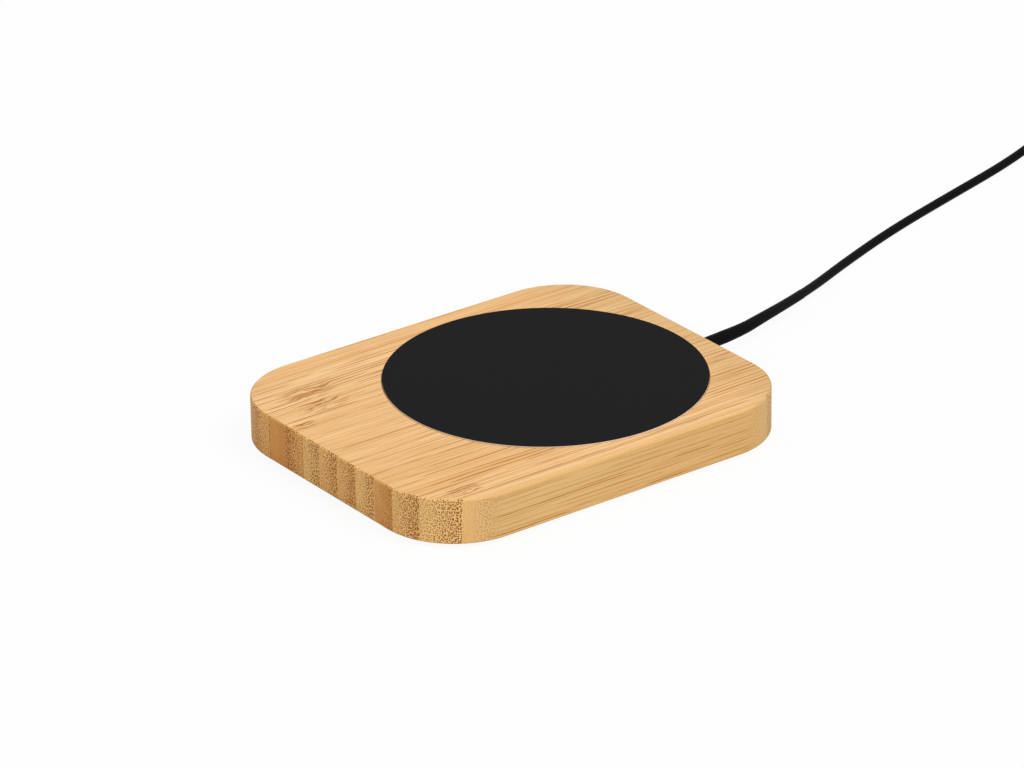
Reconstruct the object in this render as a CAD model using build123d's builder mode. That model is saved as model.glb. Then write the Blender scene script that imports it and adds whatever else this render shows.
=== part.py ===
from build123d import *
import math
import os

os.makedirs("parts", exist_ok=True)

# Electric mug warmer. Origin at the middle of the board's footprint on the table, +Z up,
# +X along the board towards the end where the cord leaves. Millimetres.

# ---- driving dimensions ----
board_length = 110
board_width = 90
board_thickness = 11.5
corner_radius = 20
edge_round = 0.5
foot_height = 1.0

plate_x = 10.5
plate_diameter = 79.6
plate_thickness = 1.6
plate_proud = 0.3
plate_edge_chamfer = 0.1
seat_diameter = 80
opening_radius = 36.5
gasket_thickness = 0.8

bolt_radius = 33.4
bolt_count = 4
pillar_diameter = 4.6
post_diameter = 5.6
screw_diameter = 2.5
screw_play = 0.06

cover_thickness = 2.0
cover_radius = 39.2
cover_play = 0.2

stack_radius = 30.8
stack_flat_x = 29.0
film_thickness = 0.2
track_thickness = 0.15
track_width = 1.2
track_pitch = 2.4
insulation_thickness = 2.0
pressing_thickness = 0.6
sensor_hole_radius = 1.7

cord_diameter = 2.3
boot_diameter = 3.35
boot_straight = 12
boot_tip_diameter = 2.45
bore_diameter = 3.4

coil_mid_radius = 12.6
coil_columns = 4
coil_rows = 3
coil_slack = 0.05  # the coil's outline stands this far off the turns
tie_thickness = 0.5

# ---- heights worked out from them ----
board_bottom = foot_height
board_top = board_bottom + board_thickness
plate_top = board_top + plate_proud
plate_under = plate_top - plate_thickness
seat_floor = plate_under - gasket_thickness
cover_top = board_bottom + cover_thickness
cord_height = board_bottom + board_thickness / 2
adhesive_under = plate_under - film_thickness
film_under = adhesive_under - film_thickness
track_under = film_under - track_thickness
cover_film_under = track_under - track_thickness
insulation_under = cover_film_under - insulation_thickness
pressing_under = insulation_under - pressing_thickness

cord_radius = cord_diameter / 2
board_end = board_length / 2
plate_centre = Plane((plate_x, 0, 0))
tapped_radius = screw_diameter / 2 + screw_play / 2

# ================= board =================

slot_end = board_end - 7.0  # flat that the strain relief's collar bears on
slot_start = plate_x + opening_radius - 2.5
slot_width = 6.4
slot_top = cord_height + slot_width / 2
foot_x = 43.5
foot_y = 33.0
foot_diameter = 8.0
foot_recess = 1.0

with BuildPart() as bamboo_board:
    with BuildSketch(Plane.XY.offset(board_bottom)):
        RectangleRounded(board_length, board_width, corner_radius)
    extrude(amount=board_thickness)
    rims = bamboo_board.edges().group_by(Axis.Z)
    fillet(rims[-1] + rims[0], radius=edge_round)
    # seat of the heating plate, opening below it and recess of the bottom cover
    with BuildSketch(plate_centre.offset(seat_floor)):
        Circle(seat_diameter / 2)
    extrude(amount=board_top - seat_floor, mode=Mode.SUBTRACT)
    with BuildSketch(plate_centre.offset(board_bottom)):
        Circle(opening_radius)
    extrude(amount=board_thickness, mode=Mode.SUBTRACT)
    with BuildSketch(plate_centre.offset(board_bottom)):
        Circle(cover_radius + cover_play)
    extrude(amount=cover_thickness, mode=Mode.SUBTRACT)
    # slot for the strain relief's collar, and the bore that the cord leaves by
    with BuildSketch(Plane.XY.offset(cover_top)):
        with Locations(((slot_start + slot_end) / 2, 0)):
            Rectangle(slot_end - slot_start, slot_width)
    extrude(amount=slot_top - cover_top, mode=Mode.SUBTRACT)
    with BuildSketch(Plane.YZ.offset(slot_end)):
        with Locations((0, cord_height)):
            Circle(bore_diameter / 2)
    extrude(amount=board_end - slot_end, mode=Mode.SUBTRACT)
    # shallow round recesses for the feet
    with BuildSketch(Plane.XY.offset(board_bottom)):
        with GridLocations(2 * foot_x, 2 * foot_y, 2, 2):
            Circle(foot_diameter / 2 + 0.1)
    extrude(amount=foot_recess, mode=Mode.SUBTRACT)
bamboo_board.part.label = "bamboo_board"
export_step(bamboo_board.part, "parts/bamboo_board.step")

for number, (sign_x, sign_y) in enumerate([(-1, -1), (1, -1), (1, 1), (-1, 1)], start=1):
    with BuildPart() as rubber_foot:
        with BuildSketch(Plane((sign_x * foot_x, sign_y * foot_y, 0))):
            Circle(foot_diameter / 2)
        extrude(amount=foot_height + foot_recess)
        chamfer(rubber_foot.edges().group_by(Axis.Z)[0], length=0.4)
    rubber_foot.part.label = f"rubber_foot_{number}"
    export_step(rubber_foot.part, f"parts/rubber_foot_{number}.step")

# ================= heating plate and gasket =================

pillar_bottom = insulation_under
blind_top = plate_top - 1.0

with BuildPart() as heating_plate:
    with BuildSketch(plate_centre.offset(plate_under)):
        Circle(plate_diameter / 2)
    extrude(amount=plate_thickness)
    chamfer(heating_plate.edges().group_by(Axis.Z)[-1], length=plate_edge_chamfer)
    with BuildSketch(plate_centre.offset(pillar_bottom)):
        with PolarLocations(bolt_radius, bolt_count, start_angle=45):
            Circle(pillar_diameter / 2)
    extrude(amount=plate_under - pillar_bottom)
    with BuildSketch(plate_centre.offset(pillar_bottom)):
        with PolarLocations(bolt_radius, bolt_count, start_angle=45):
            Circle(tapped_radius)
    extrude(amount=blind_top - pillar_bottom, mode=Mode.SUBTRACT)
heating_plate.part.label = "heating_plate"
export_step(heating_plate.part, "parts/heating_plate.step")

with BuildPart() as plate_gasket:
    with BuildSketch(plate_centre.offset(seat_floor)):
        Circle(plate_diameter / 2 - 0.1)
        Circle(opening_radius + 0.2, mode=Mode.SUBTRACT)
    extrude(amount=gasket_thickness)
plate_gasket.part.label = "plate_gasket"
export_step(plate_gasket.part, "parts/plate_gasket.step")

# ================= heater stack =================

tab_reach = 35.4
tab_width = 8.0
terminal_y = 2.0


def heater_outline(radius, with_tab, hole_radius):
    """Disc with a flat towards the cord, a connection tab opposite and a middle hole, each where wanted."""
    with BuildSketch() as outline:
        Circle(radius)
        with Locations((stack_flat_x + radius / 2, 0)):
            Rectangle(radius, 2 * radius, mode=Mode.SUBTRACT)
        if with_tab:
            with Locations((-tab_reach / 2, 0)):
                Rectangle(tab_reach, tab_width)
        if hole_radius > 0:
            Circle(hole_radius, mode=Mode.SUBTRACT)
    return outline.sketch


with BuildPart() as thermal_adhesive:
    with BuildSketch(plate_centre.offset(adhesive_under)):
        add(heater_outline(stack_radius, False, 0))
    extrude(amount=film_thickness)
thermal_adhesive.part.label = "thermal_adhesive"
export_step(thermal_adhesive.part, "parts/thermal_adhesive.step")

with BuildPart() as heater_film:
    with BuildSketch(plate_centre.offset(film_under)):
        add(heater_outline(stack_radius, True, 0))
    extrude(amount=film_thickness)
heater_film.part.label = "heater_film"
export_step(heater_film.part, "parts/heater_film.step")

# The track runs to and fro across the disc, row beside row, and comes back round the rim to the tab.
track_limit = 26.2
row_count = 21
rim_radius = 28.4
terminal_reach = tab_reach - 0.8
row_x = [track_pitch * (row - (row_count - 1) / 2) for row in range(row_count)]
row_reach = [math.sqrt(track_limit**2 - x**2) - track_pitch / 2 for x in row_x]
# each bend joins a row to the next one, by turns at +Y and at -Y
bend_y = [min(pair) * (-1) ** row for row, pair in enumerate(zip(row_reach, row_reach[1:]))]

with BuildPart() as heater_track:
    with BuildSketch(plate_centre.offset(track_under)):
        for row, x in enumerate(row_x):
            ends = bend_y[max(row - 1, 0) : row + 1]
            if row == 0:
                ends.append(terminal_y - track_width / 2)
            if row == row_count - 1:
                ends.append(track_width / 2)
            with Locations((x, (ends[0] + ends[1]) / 2)):
                Rectangle(track_width, abs(ends[0] - ends[1]))
        for x, y in zip(row_x, bend_y):
            with BuildSketch(mode=Mode.PRIVATE) as bend:
                Circle(track_pitch / 2 + track_width / 2)
                Circle(track_pitch / 2 - track_width / 2, mode=Mode.SUBTRACT)
                with Locations((0, -math.copysign(track_pitch, y))):
                    Rectangle(3 * track_pitch, 2 * track_pitch, mode=Mode.SUBTRACT)
            with Locations((x + track_pitch / 2, y)):
                add(bend.sketch)
        # the far end goes out to the rim and round to the tab
        with Locations(((row_x[-1] + rim_radius) / 2, 0)):
            Rectangle(rim_radius - row_x[-1] + track_width / 2, track_width)
        with BuildSketch(mode=Mode.PRIVATE) as rim:
            Circle(rim_radius + track_width / 2)
            Circle(rim_radius - track_width / 2, mode=Mode.SUBTRACT)
            with Locations((0, rim_radius)):
                Rectangle(4 * rim_radius, 2 * rim_radius, mode=Mode.SUBTRACT)
        add(rim.sketch)
        # the two terminals on the tab
        with Locations(((row_x[0] - terminal_reach) / 2, terminal_y)):
            Rectangle(terminal_reach + row_x[0] + track_width, track_width)
        with Locations((-(rim_radius + terminal_reach) / 2, -terminal_y)):
            Rectangle(terminal_reach - rim_radius + track_width, track_width)
        with Locations((-rim_radius, -terminal_y / 2)):
            Rectangle(track_width, terminal_y)
    extrude(amount=track_thickness)
heater_track.part.label = "heater_track"
export_step(heater_track.part, "parts/heater_track.step")

with BuildPart() as heater_cover_film:
    with BuildSketch(plate_centre.offset(cover_film_under)):
        add(heater_outline(stack_radius, True, 0))
    extrude(amount=track_thickness)
heater_cover_film.part.label = "heater_cover_film"
export_step(heater_cover_film.part, "parts/heater_cover_film.step")

with BuildPart() as insulation_pad:
    with BuildSketch(plate_centre.offset(insulation_under)):
        add(heater_outline(stack_radius, False, sensor_hole_radius))
    extrude(amount=insulation_thickness)
insulation_pad.part.label = "insulation_pad"
export_step(insulation_pad.part, "parts/insulation_pad.step")

lug_radius = 2.6

with BuildPart() as pressing_plate:
    with BuildSketch(plate_centre.offset(pressing_under)):
        add(heater_outline(stack_radius, False, sensor_hole_radius))
        with PolarLocations(bolt_radius, bolt_count, start_angle=45):
            Circle(lug_radius)
        with PolarLocations(bolt_radius - lug_radius, bolt_count, start_angle=45):
            Rectangle(2 * lug_radius, 2 * lug_radius)
        with PolarLocations(bolt_radius, bolt_count, start_angle=45):
            Circle(screw_diameter / 2 + 0.15, mode=Mode.SUBTRACT)
    extrude(amount=pressing_thickness)
pressing_plate.part.label = "pressing_plate"
export_step(pressing_plate.part, "parts/pressing_plate.step")

# ================= bottom cover and its screws =================

head_diameter = 4.5
head_height = 1.5
counterbore_diameter = 5.0
counterbore_depth = 1.9
web_bottom = board_bottom + counterbore_depth
board_pcb_height = 1.6
pcb_under = cover_top + board_pcb_height
standoff_diameter = 4.0
pcb_screw_diameter = 1.6
pcb_centre_x = 14.0
standoff_spacing_x = 28.0
standoff_spacing_y = 17.6
clamp_x = 42.0
clamp_width = 4.0
cradle_half = 2.6
clamp_screw_y = 5.2
clamp_post_diameter = 4.2

with BuildPart() as bottom_cover:
    with BuildSketch(plate_centre.offset(board_bottom)):
        Circle(cover_radius)
    extrude(amount=cover_thickness)
    chamfer(bottom_cover.edges().group_by(Axis.Z)[0], length=0.4)
    # posts up to the pressing plate's lugs
    with BuildSketch(plate_centre.offset(cover_top)):
        with PolarLocations(bolt_radius, bolt_count, start_angle=45):
            Circle(post_diameter / 2)
    extrude(amount=pressing_under - cover_top)
    with BuildSketch(plate_centre.offset(board_bottom)):
        with PolarLocations(bolt_radius, bolt_count, start_angle=45):
            Circle(screw_diameter / 2 + 0.15)
    extrude(amount=pressing_under - board_bottom, mode=Mode.SUBTRACT)
    with BuildSketch(plate_centre.offset(board_bottom)):
        with PolarLocations(bolt_radius, bolt_count, start_angle=45):
            Circle(counterbore_diameter / 2)
    extrude(amount=counterbore_depth, mode=Mode.SUBTRACT)
    # standoffs of the circuit board
    with BuildSketch(Plane((pcb_centre_x, 0, cover_top))):
        with GridLocations(standoff_spacing_x, standoff_spacing_y, 2, 2):
            Circle(standoff_diameter / 2)
    extrude(amount=board_pcb_height)
    with BuildSketch(Plane((pcb_centre_x, 0, pcb_under))):
        with GridLocations(standoff_spacing_x, standoff_spacing_y, 2, 2):
            Circle(pcb_screw_diameter / 2)
    extrude(amount=-board_pcb_height - 1.0, mode=Mode.SUBTRACT)
    # cradle under the cord, and the posts of its clamp
    with BuildSketch(Plane((clamp_x, 0, cover_top))):
        Rectangle(clamp_width, 2 * cradle_half)
        with GridLocations(0, 2 * clamp_screw_y, 1, 2):
            Circle(clamp_post_diameter / 2)
    extrude(amount=cord_height - cover_top)
    with BuildSketch(Plane.YZ.offset(clamp_x - clamp_width)):
        with Locations((0, cord_height)):
            Circle(cord_radius)
    extrude(amount=2 * clamp_width, mode=Mode.SUBTRACT)
    with BuildSketch(Plane((clamp_x, 0, cord_height))):
        with GridLocations(0, 2 * clamp_screw_y, 1, 2):
            Circle(pcb_screw_diameter / 2)
    extrude(amount=-3.2, mode=Mode.SUBTRACT)
bottom_cover.part.label = "bottom_cover"
export_step(bottom_cover.part, "parts/bottom_cover.step")


def screw_solids(plane, places, shank_diameter, shank_length, cap_diameter, cap_height, drive_width):
    """Pan-head screws. Each stands at a place on the plane, which its head's seat lies in, shank upwards."""
    with BuildPart() as screws:
        with BuildSketch(plane):
            with Locations(*places):
                Circle(shank_diameter / 2)
        extrude(amount=shank_length)
        with BuildSketch(plane):
            with Locations(*places):
                Circle(cap_diameter / 2)
        extrude(amount=-cap_height)
        caps = screws.faces().sort_by(Axis(plane.origin, plane.z_dir))[: len(places)]
        chamfer(caps.edges(), length=0.35 * cap_height)
        with BuildSketch(plane.offset(-cap_height)):
            with Locations(*places):
                Rectangle(drive_width, 0.22 * drive_width)
                Rectangle(0.22 * drive_width, drive_width)
        extrude(amount=0.5 * cap_height, mode=Mode.SUBTRACT)
    return screws.part


def polar_places(radius, count, start_angle):
    """Points evenly round a circle."""
    turns = [math.radians(start_angle + 360 * i / count) for i in range(count)]
    return [(radius * math.cos(turn), radius * math.sin(turn)) for turn in turns]


cover_screw_length = 8.0
cover_screws = screw_solids(
    plate_centre.offset(web_bottom),
    polar_places(bolt_radius, bolt_count, 45),
    screw_diameter,
    cover_screw_length,
    head_diameter,
    head_height,
    2.4,
)
cover_screws.label = "cover_screws"
export_step(cover_screws, "parts/cover_screws.step")

# ================= circuit board =================

pcb_length = 34.0
pcb_width = 22.0
pcb_thickness = 1.0
pcb_top = pcb_under + pcb_thickness
pcb_plane = Plane((pcb_centre_x, 0, pcb_under))
pcb_face = Plane((pcb_centre_x, 0, pcb_top))

with BuildPart() as circuit_board:
    with BuildSketch(pcb_plane):
        RectangleRounded(pcb_length, pcb_width, 1.5)
        with GridLocations(standoff_spacing_x, standoff_spacing_y, 2, 2):
            Circle(pcb_screw_diameter / 2 + 0.1, mode=Mode.SUBTRACT)
    extrude(amount=pcb_thickness)
circuit_board.part.label = "circuit_board"
export_step(circuit_board.part, "parts/circuit_board.step")

pcb_screw_face = Plane((pcb_centre_x, 0, pcb_top), x_dir=(1, 0, 0), z_dir=(0, 0, -1))
half_x = standoff_spacing_x / 2
half_y = standoff_spacing_y / 2
circuit_board_screws = screw_solids(
    pcb_screw_face,
    [(-half_x, -half_y), (half_x, -half_y), (half_x, half_y), (-half_x, half_y)],
    pcb_screw_diameter - screw_play,
    3.2,
    3.2,
    1.1,
    1.7,
)
circuit_board_screws.label = "circuit_board_screws"
export_step(circuit_board_screws, "parts/circuit_board_screws.step")

# Places of the parts on the circuit board are counted from its middle.
chip_x = 4.0
chip_y = -4.5
chip_length = 4.9
chip_width = 3.9
chip_thickness = 1.4
chip_lift = 0.15
lead_pairs = 4
lead_pitch = 1.27
lead_width = 0.4
lead_thickness = 0.2
lead_height = 0.7
lead_knee = 2.2
lead_foot = 2.5
lead_tip = 3.2

with BuildPart() as controller_chip:
    with BuildSketch(pcb_face.offset(chip_lift)):
        with Locations((chip_x, chip_y)):
            Rectangle(chip_length, chip_width)
    extrude(amount=chip_thickness)
    chamfer(controller_chip.edges().group_by(Axis.Z)[-1], length=0.2)
    # gull-wing leads, each pair one bent strip that passes through the body
    for pair in range(lead_pairs):
        lead_x = pcb_centre_x + chip_x + lead_pitch * (pair - (lead_pairs - 1) / 2) - lead_width / 2
        with BuildSketch(Plane((lead_x, chip_y, pcb_top), x_dir=(0, 1, 0), z_dir=(1, 0, 0))):
            with BuildLine():
                Polyline(
                    (0, lead_height),
                    (lead_knee, lead_height),
                    (lead_foot, 0),
                    (lead_tip, 0),
                    (lead_tip, lead_thickness),
                    (lead_foot + 0.75 * lead_thickness, lead_thickness),
                    (lead_knee + 0.75 * lead_thickness, lead_height + lead_thickness),
                    (0, lead_height + lead_thickness),
                )
                mirror(about=Plane.YZ)
            make_face()
        extrude(amount=lead_width)
controller_chip.part.label = "controller_chip"
export_step(controller_chip.part, "parts/controller_chip.step")

transistor_x = -6.2
transistor_y = 5.2
transistor_length = 6.2
transistor_width = 5.4
transistor_height = 2.1
metal_thickness = 0.5  # of its heat tab and its two legs
tab_overhang = 1.5
leg_spacing = 3.6
leg_reach = 2.0
leg_width = 0.8

with BuildPart() as power_transistor:
    with BuildSketch(pcb_face):
        with Locations((transistor_x, transistor_y)):
            Rectangle(transistor_length, transistor_width)
    extrude(amount=transistor_height)
    chamfer(power_transistor.edges().group_by(Axis.Z)[-1], length=0.3)
    with BuildSketch(pcb_face):
        with Locations((transistor_x - transistor_length / 2 - tab_overhang / 2, transistor_y)):
            Rectangle(tab_overhang, transistor_width - 0.4)
        with Locations((transistor_x + transistor_length / 2 + leg_reach / 2, transistor_y)):
            with GridLocations(0, leg_spacing, 1, 2):
                Rectangle(leg_reach, leg_width)
    extrude(amount=metal_thickness)
power_transistor.part.label = "power_transistor"
export_step(power_transistor.part, "parts/power_transistor.step")

with BuildPart() as board_capacitors:
    with BuildSketch(pcb_face):
        with Locations((6.2, 4.6)):
            with GridLocations(4.4, 0, 2, 1):
                Rectangle(1.6, 3.2)
    extrude(amount=1.5)
    chamfer(board_capacitors.edges().filter_by(Axis.Z), length=0.2)
board_capacitors.part.label = "board_capacitors"
export_step(board_capacitors.part, "parts/board_capacitors.step")

with BuildPart() as board_resistors:
    with BuildSketch(pcb_face):
        with Locations((-4.4, -7.4)):
            with GridLocations(2.4, 0, 4, 1):
                Rectangle(1.2, 2.0)
    extrude(amount=0.5)
board_resistors.part.label = "board_resistors"
export_step(board_resistors.part, "parts/board_resistors.step")

# ================= temperature sensor and thermal fuse =================

bead_radius = 1.1
bead_height = 1.7
lead_radius = 0.22
sensor_lead_y = 0.55
with BuildPart() as temperature_sensor:
    with BuildSketch(plate_centre.offset(cover_film_under)):
        Circle(bead_radius)
    extrude(amount=-bead_height)
    fillet(temperature_sensor.edges().group_by(Axis.Z)[0], radius=0.5)
temperature_sensor.part.label = "temperature_sensor"
export_step(temperature_sensor.part, "parts/temperature_sensor.step")

with BuildPart() as sensor_leads:
    with BuildSketch(plate_centre.offset(pcb_top)):
        with GridLocations(0, 2 * sensor_lead_y, 1, 2):
            Circle(lead_radius)
    extrude(amount=cover_film_under - bead_height - pcb_top)
sensor_leads.part.label = "sensor_leads"
export_step(sensor_leads.part, "parts/sensor_leads.step")

fuse_radius = 1.1
fuse_length = 7.0
fuse_x = -12.5
fuse_y = 5.6
fuse_height = pressing_under - fuse_radius
fuse_lead_length = 3.0
fuse_lead_radius = 0.35

with BuildPart() as thermal_fuse:
    with BuildSketch(Plane.YZ.offset(fuse_x - fuse_length / 2)):
        with Locations((fuse_y, fuse_height)):
            Circle(fuse_radius)
    extrude(amount=fuse_length)
    chamfer(thermal_fuse.edges(), length=0.3)
thermal_fuse.part.label = "thermal_fuse"
export_step(thermal_fuse.part, "parts/thermal_fuse.step")

with BuildPart() as fuse_leads:
    for lead_start in (fuse_x - fuse_length / 2 - fuse_lead_length, fuse_x + fuse_length / 2):
        with BuildSketch(Plane.YZ.offset(lead_start)):
            with Locations((fuse_y, fuse_height)):
                Circle(fuse_lead_radius)
        extrude(amount=fuse_lead_length)
fuse_leads.part.label = "fuse_leads"
export_step(fuse_leads.part, "parts/fuse_leads.step")

clip_wall = 0.4
clip_width = 3.0
with BuildPart() as fuse_clip:
    with BuildSketch(Plane.YZ.offset(fuse_x - clip_width / 2)):
        with Locations((fuse_y, fuse_height)):
            Circle(fuse_radius + clip_wall)
            Rectangle(2 * (fuse_radius + clip_wall), fuse_radius, align=(Align.CENTER, Align.MIN))
        with Locations((fuse_y, pressing_under - clip_wall / 2)):
            Rectangle(2 * (fuse_radius + clip_wall) + 4.0, clip_wall)
        with Locations((fuse_y, fuse_height)):
            Circle(fuse_radius, mode=Mode.SUBTRACT)
            Rectangle(2 * fuse_radius, fuse_radius, align=(Align.CENTER, Align.MIN), mode=Mode.SUBTRACT)
        with Locations((fuse_y, pressing_under + 1.0)):
            Rectangle(12, 2.0, mode=Mode.SUBTRACT)
    extrude(amount=clip_width)
fuse_clip.part.label = "fuse_clip"
export_step(fuse_clip.part, "parts/fuse_clip.step")

# ================= wires inside =================

wire_radius = 0.5
core_radius = 0.45
core_y = 0.5
tail_end = 36.0
wire_rest = pcb_top + wire_radius
core_rest = pcb_top + core_radius
fan_start = 33.8  # where the cord's two cores part
fan_end = 31.8
pad_west = pcb_centre_x - pcb_length / 2 + 3.5
pad_east = pcb_centre_x + pcb_length / 2 - 2.4
tab_x = plate_x - tab_reach + 2.0
fuse_wire_east = fuse_x + fuse_length / 2 + fuse_lead_length
fuse_wire_west = fuse_x - fuse_length / 2 - fuse_lead_length


def wire_solid(points, radii, radius):
    """Round wire along straight runs joined by arcs."""
    with BuildPart() as wire:
        with BuildLine() as route:
            FilletPolyline(*points, radius=radii)
        with BuildSketch(Plane(origin=route.line @ 0, z_dir=route.line % 0)):
            Circle(radius)
        sweep()
    return wire.part


inner_wires = {
    "supply_wire_red": (
        [
            (tail_end, core_y, cord_height),
            (fan_start, core_y, cord_height),
            (fan_end, 2.2, core_rest),
            (pad_east, 2.6, core_rest),
        ],
        [1.2, 1.2],
        core_radius,
    ),
    "supply_wire_black": (
        [
            (tail_end, -core_y, cord_height),
            (fan_start, -core_y, cord_height),
            (fan_end, -2.2, core_rest),
            (pad_east, -2.6, core_rest),
        ],
        [1.2, 1.2],
        core_radius,
    ),
    "fuse_wire_red": (
        [
            (pad_west, fuse_y, wire_rest),
            (-2.4, fuse_y, wire_rest),
            (-4.2, fuse_y, fuse_height),
            (fuse_wire_east, fuse_y, fuse_height),
        ],
        [1.2, 1.2],
        wire_radius,
    ),
    "heater_wire_red": (
        [
            (fuse_wire_west, fuse_y, fuse_height),
            (-21.2, fuse_y, fuse_height),
            (tab_x, terminal_y, fuse_height),
            (tab_x, terminal_y, cover_film_under),
        ],
        [1.0, 1.0],
        wire_radius,
    ),
    "heater_wire_black": (
        [
            (pad_west, -3.4, wire_rest),
            (-9.0, -4.0, wire_rest),
            (tab_x, -terminal_y, wire_rest),
            (tab_x, -terminal_y, cover_film_under),
        ],
        [6.0, 1.4],
        wire_radius,
    ),
}
for wire_name, (wire_points, wire_radii, wire_size) in inner_wires.items():
    one_wire = wire_solid(wire_points, wire_radii, wire_size)
    one_wire.label = wire_name
    export_step(one_wire, f"parts/{wire_name}.step")

# ================= cord inside the board =================

collar_thickness = 2.0
collar_face = slot_end - collar_thickness
clamp_thickness = 2.2

with BuildPart() as cord_tail:
    with BuildSketch(Plane.YZ.offset(tail_end)):
        with Locations((0, cord_height)):
            Circle(cord_radius)
    extrude(amount=collar_face - tail_end)
cord_tail.part.label = "cord_tail"
export_step(cord_tail.part, "parts/cord_tail.step")

with BuildPart() as cord_clamp:
    with BuildSketch(Plane((clamp_x, 0, cord_height))):
        Rectangle(clamp_width, 2 * clamp_screw_y)
        with GridLocations(0, 2 * clamp_screw_y, 1, 2):
            Circle(clamp_post_diameter / 2)
    extrude(amount=clamp_thickness)
    chamfer(cord_clamp.edges().group_by(Axis.Z)[-1], length=0.4)
    with BuildSketch(Plane.YZ.offset(clamp_x - clamp_width)):
        with Locations((0, cord_height)):
            Circle(cord_radius)
    extrude(amount=2 * clamp_width, mode=Mode.SUBTRACT)
    with BuildSketch(Plane((clamp_x, 0, cord_height))):
        with GridLocations(0, 2 * clamp_screw_y, 1, 2):
            Circle(pcb_screw_diameter / 2 + 0.1)
    extrude(amount=clamp_thickness, mode=Mode.SUBTRACT)
cord_clamp.part.label = "cord_clamp"
export_step(cord_clamp.part, "parts/cord_clamp.step")

clamp_screw_face = Plane(
    (clamp_x, 0, cord_height + clamp_thickness), x_dir=(1, 0, 0), z_dir=(0, 0, -1)
)
cord_clamp_screws = screw_solids(
    clamp_screw_face,
    [(0, -clamp_screw_y), (0, clamp_screw_y)],
    pcb_screw_diameter - screw_play,
    5.0,
    3.2,
    1.1,
    1.7,
)
cord_clamp_screws.label = "cord_clamp_screws"
export_step(cord_clamp_screws, "parts/cord_clamp_screws.step")

# ================= free cord =================

# Points that the cord's route turns at, from the board's end face to where the coil takes over.
cord_route = [
    (55.0, 0.0, 6.75),
    (70.0, 0.5, 6.85),
    (83.0, 4.9, 6.3),
    (96.0, 10.9, 4.5),
    (111.0, 18.6, 2.3),
    (127.0, 26.5, 1.15),
    (150.0, 35.0, 1.15),
    (176.0, 42.5, 1.15),
    (203.0, 50.0, 1.15),
    (222.0, 56.9, 1.7),
]
boot_points = 4  # the strain relief follows these, and ends halfway along the next run
entry_run = 12.0
stub_length = 9.0  # long enough for its end face to stand clear of the turns


def corner_radii(points):
    """For each corner, 0.45 of its shorter run over the tangent of half its turn."""
    places = [Vector(*point) for point in points]
    radii = []
    for before, corner, after in zip(places, places[1:], places[2:]):
        into = corner - before
        out = after - corner
        half_turn = math.radians(into.get_angle(out)) / 2
        radii.append(0.45 * min(into.length, out.length) / math.tan(half_turn))
    return radii


entry_from = Vector(*cord_route[-2])
entry_heading = Vector(cord_route[-1][0] - entry_from.X, cord_route[-1][1] - entry_from.Y, 0).normalized()
coil_entry = Vector(*cord_route[-1]) + entry_heading * entry_run
boot_tip = (Vector(*cord_route[boot_points - 1]) + Vector(*cord_route[boot_points])) * 0.5

boot_route = cord_route[:boot_points] + [tuple(boot_tip)]
run_route = [tuple(boot_tip)] + cord_route[boot_points:] + [tuple(coil_entry)]
boot_radii = corner_radii(boot_route)
run_radii = corner_radii(run_route)
print("strain relief radii", [round(radius, 1) for radius in boot_radii])
print("cord_run radii", [round(radius, 1) for radius in run_radii])

with BuildLine() as boot_line:
    FilletPolyline(*boot_route, radius=boot_radii)
boot_path = boot_line.wire()
boot_length = boot_path.length
boot_stations = 12


def boot_width(share):
    """Diameter of the sleeve at a share of its length: even at first, then a taper that eases out to the tip."""
    ease = max(0, (share * boot_length - boot_straight) / (boot_length - boot_straight))
    return boot_tip_diameter + (boot_diameter - boot_tip_diameter) * (1 - ease) ** 2


with BuildPart() as strain_relief:
    for share in [station / boot_stations for station in range(boot_stations + 1)]:
        heading = boot_path % share
        across = Vector(0, 0, 1).cross(heading)
        with BuildSketch(Plane(origin=boot_path @ share, x_dir=across, z_dir=heading)):
            Circle(boot_width(share) / 2)
    loft(ruled=True)
    # neck in the board's bore and collar behind it
    with BuildSketch(Plane.YZ.offset(collar_face)):
        with Locations((0, cord_height)):
            Circle(boot_diameter / 2)
    extrude(amount=board_end - collar_face)
    with BuildSketch(Plane.YZ.offset(collar_face)):
        with Locations((0, cord_height)):
            RectangleRounded(slot_width - 0.4, slot_width - 0.4, 0.8)
    extrude(amount=collar_thickness)
strain_relief.part.label = "strain_relief"
export_step(strain_relief.part, "parts/strain_relief.step")

cord_run = wire_solid(run_route, run_radii, cord_radius)
cord_run.label = "cord_run"
export_step(cord_run, "parts/cord_run.step")

# The coil: turns lie beside and on each other a diameter apart. It winds clockwise seen from above,
# enters in the outer column's lowest turn and leaves from that column's middle turn, a quarter turn on.
coil_row_height = [tie_thickness + coil_slack + cord_radius + cord_diameter * i for i in range(coil_rows)]
outer_turn_radius = coil_mid_radius + cord_diameter * (coil_columns - 1) / 2
coil_width = cord_diameter * coil_columns + 2 * coil_slack
coil_height = cord_diameter * coil_rows + 2 * coil_slack
coil_bevel = 0.6 * cord_radius
upward = Vector(0, 0, 1)
inward = Vector(entry_heading.Y, -entry_heading.X, 0)
coil_touch = coil_entry + entry_heading * stub_length
coil_centre = Vector(coil_touch.X, coil_touch.Y, 0) + inward * outer_turn_radius
coil_axis = Axis((coil_centre.X, coil_centre.Y, 0), (0, 0, 1))
exit_touch = coil_centre + entry_heading * outer_turn_radius + upward * coil_row_height[1]
coil_exit = exit_touch + inward * stub_length


def coil_plane(turn):
    """Plane that holds the coil's axis, turned so many degrees about it from the cord's heading."""
    outward = entry_heading.rotate(Axis.Z, turn)
    return Plane(origin=tuple(coil_centre), x_dir=outward, z_dir=outward.cross(upward))


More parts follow.
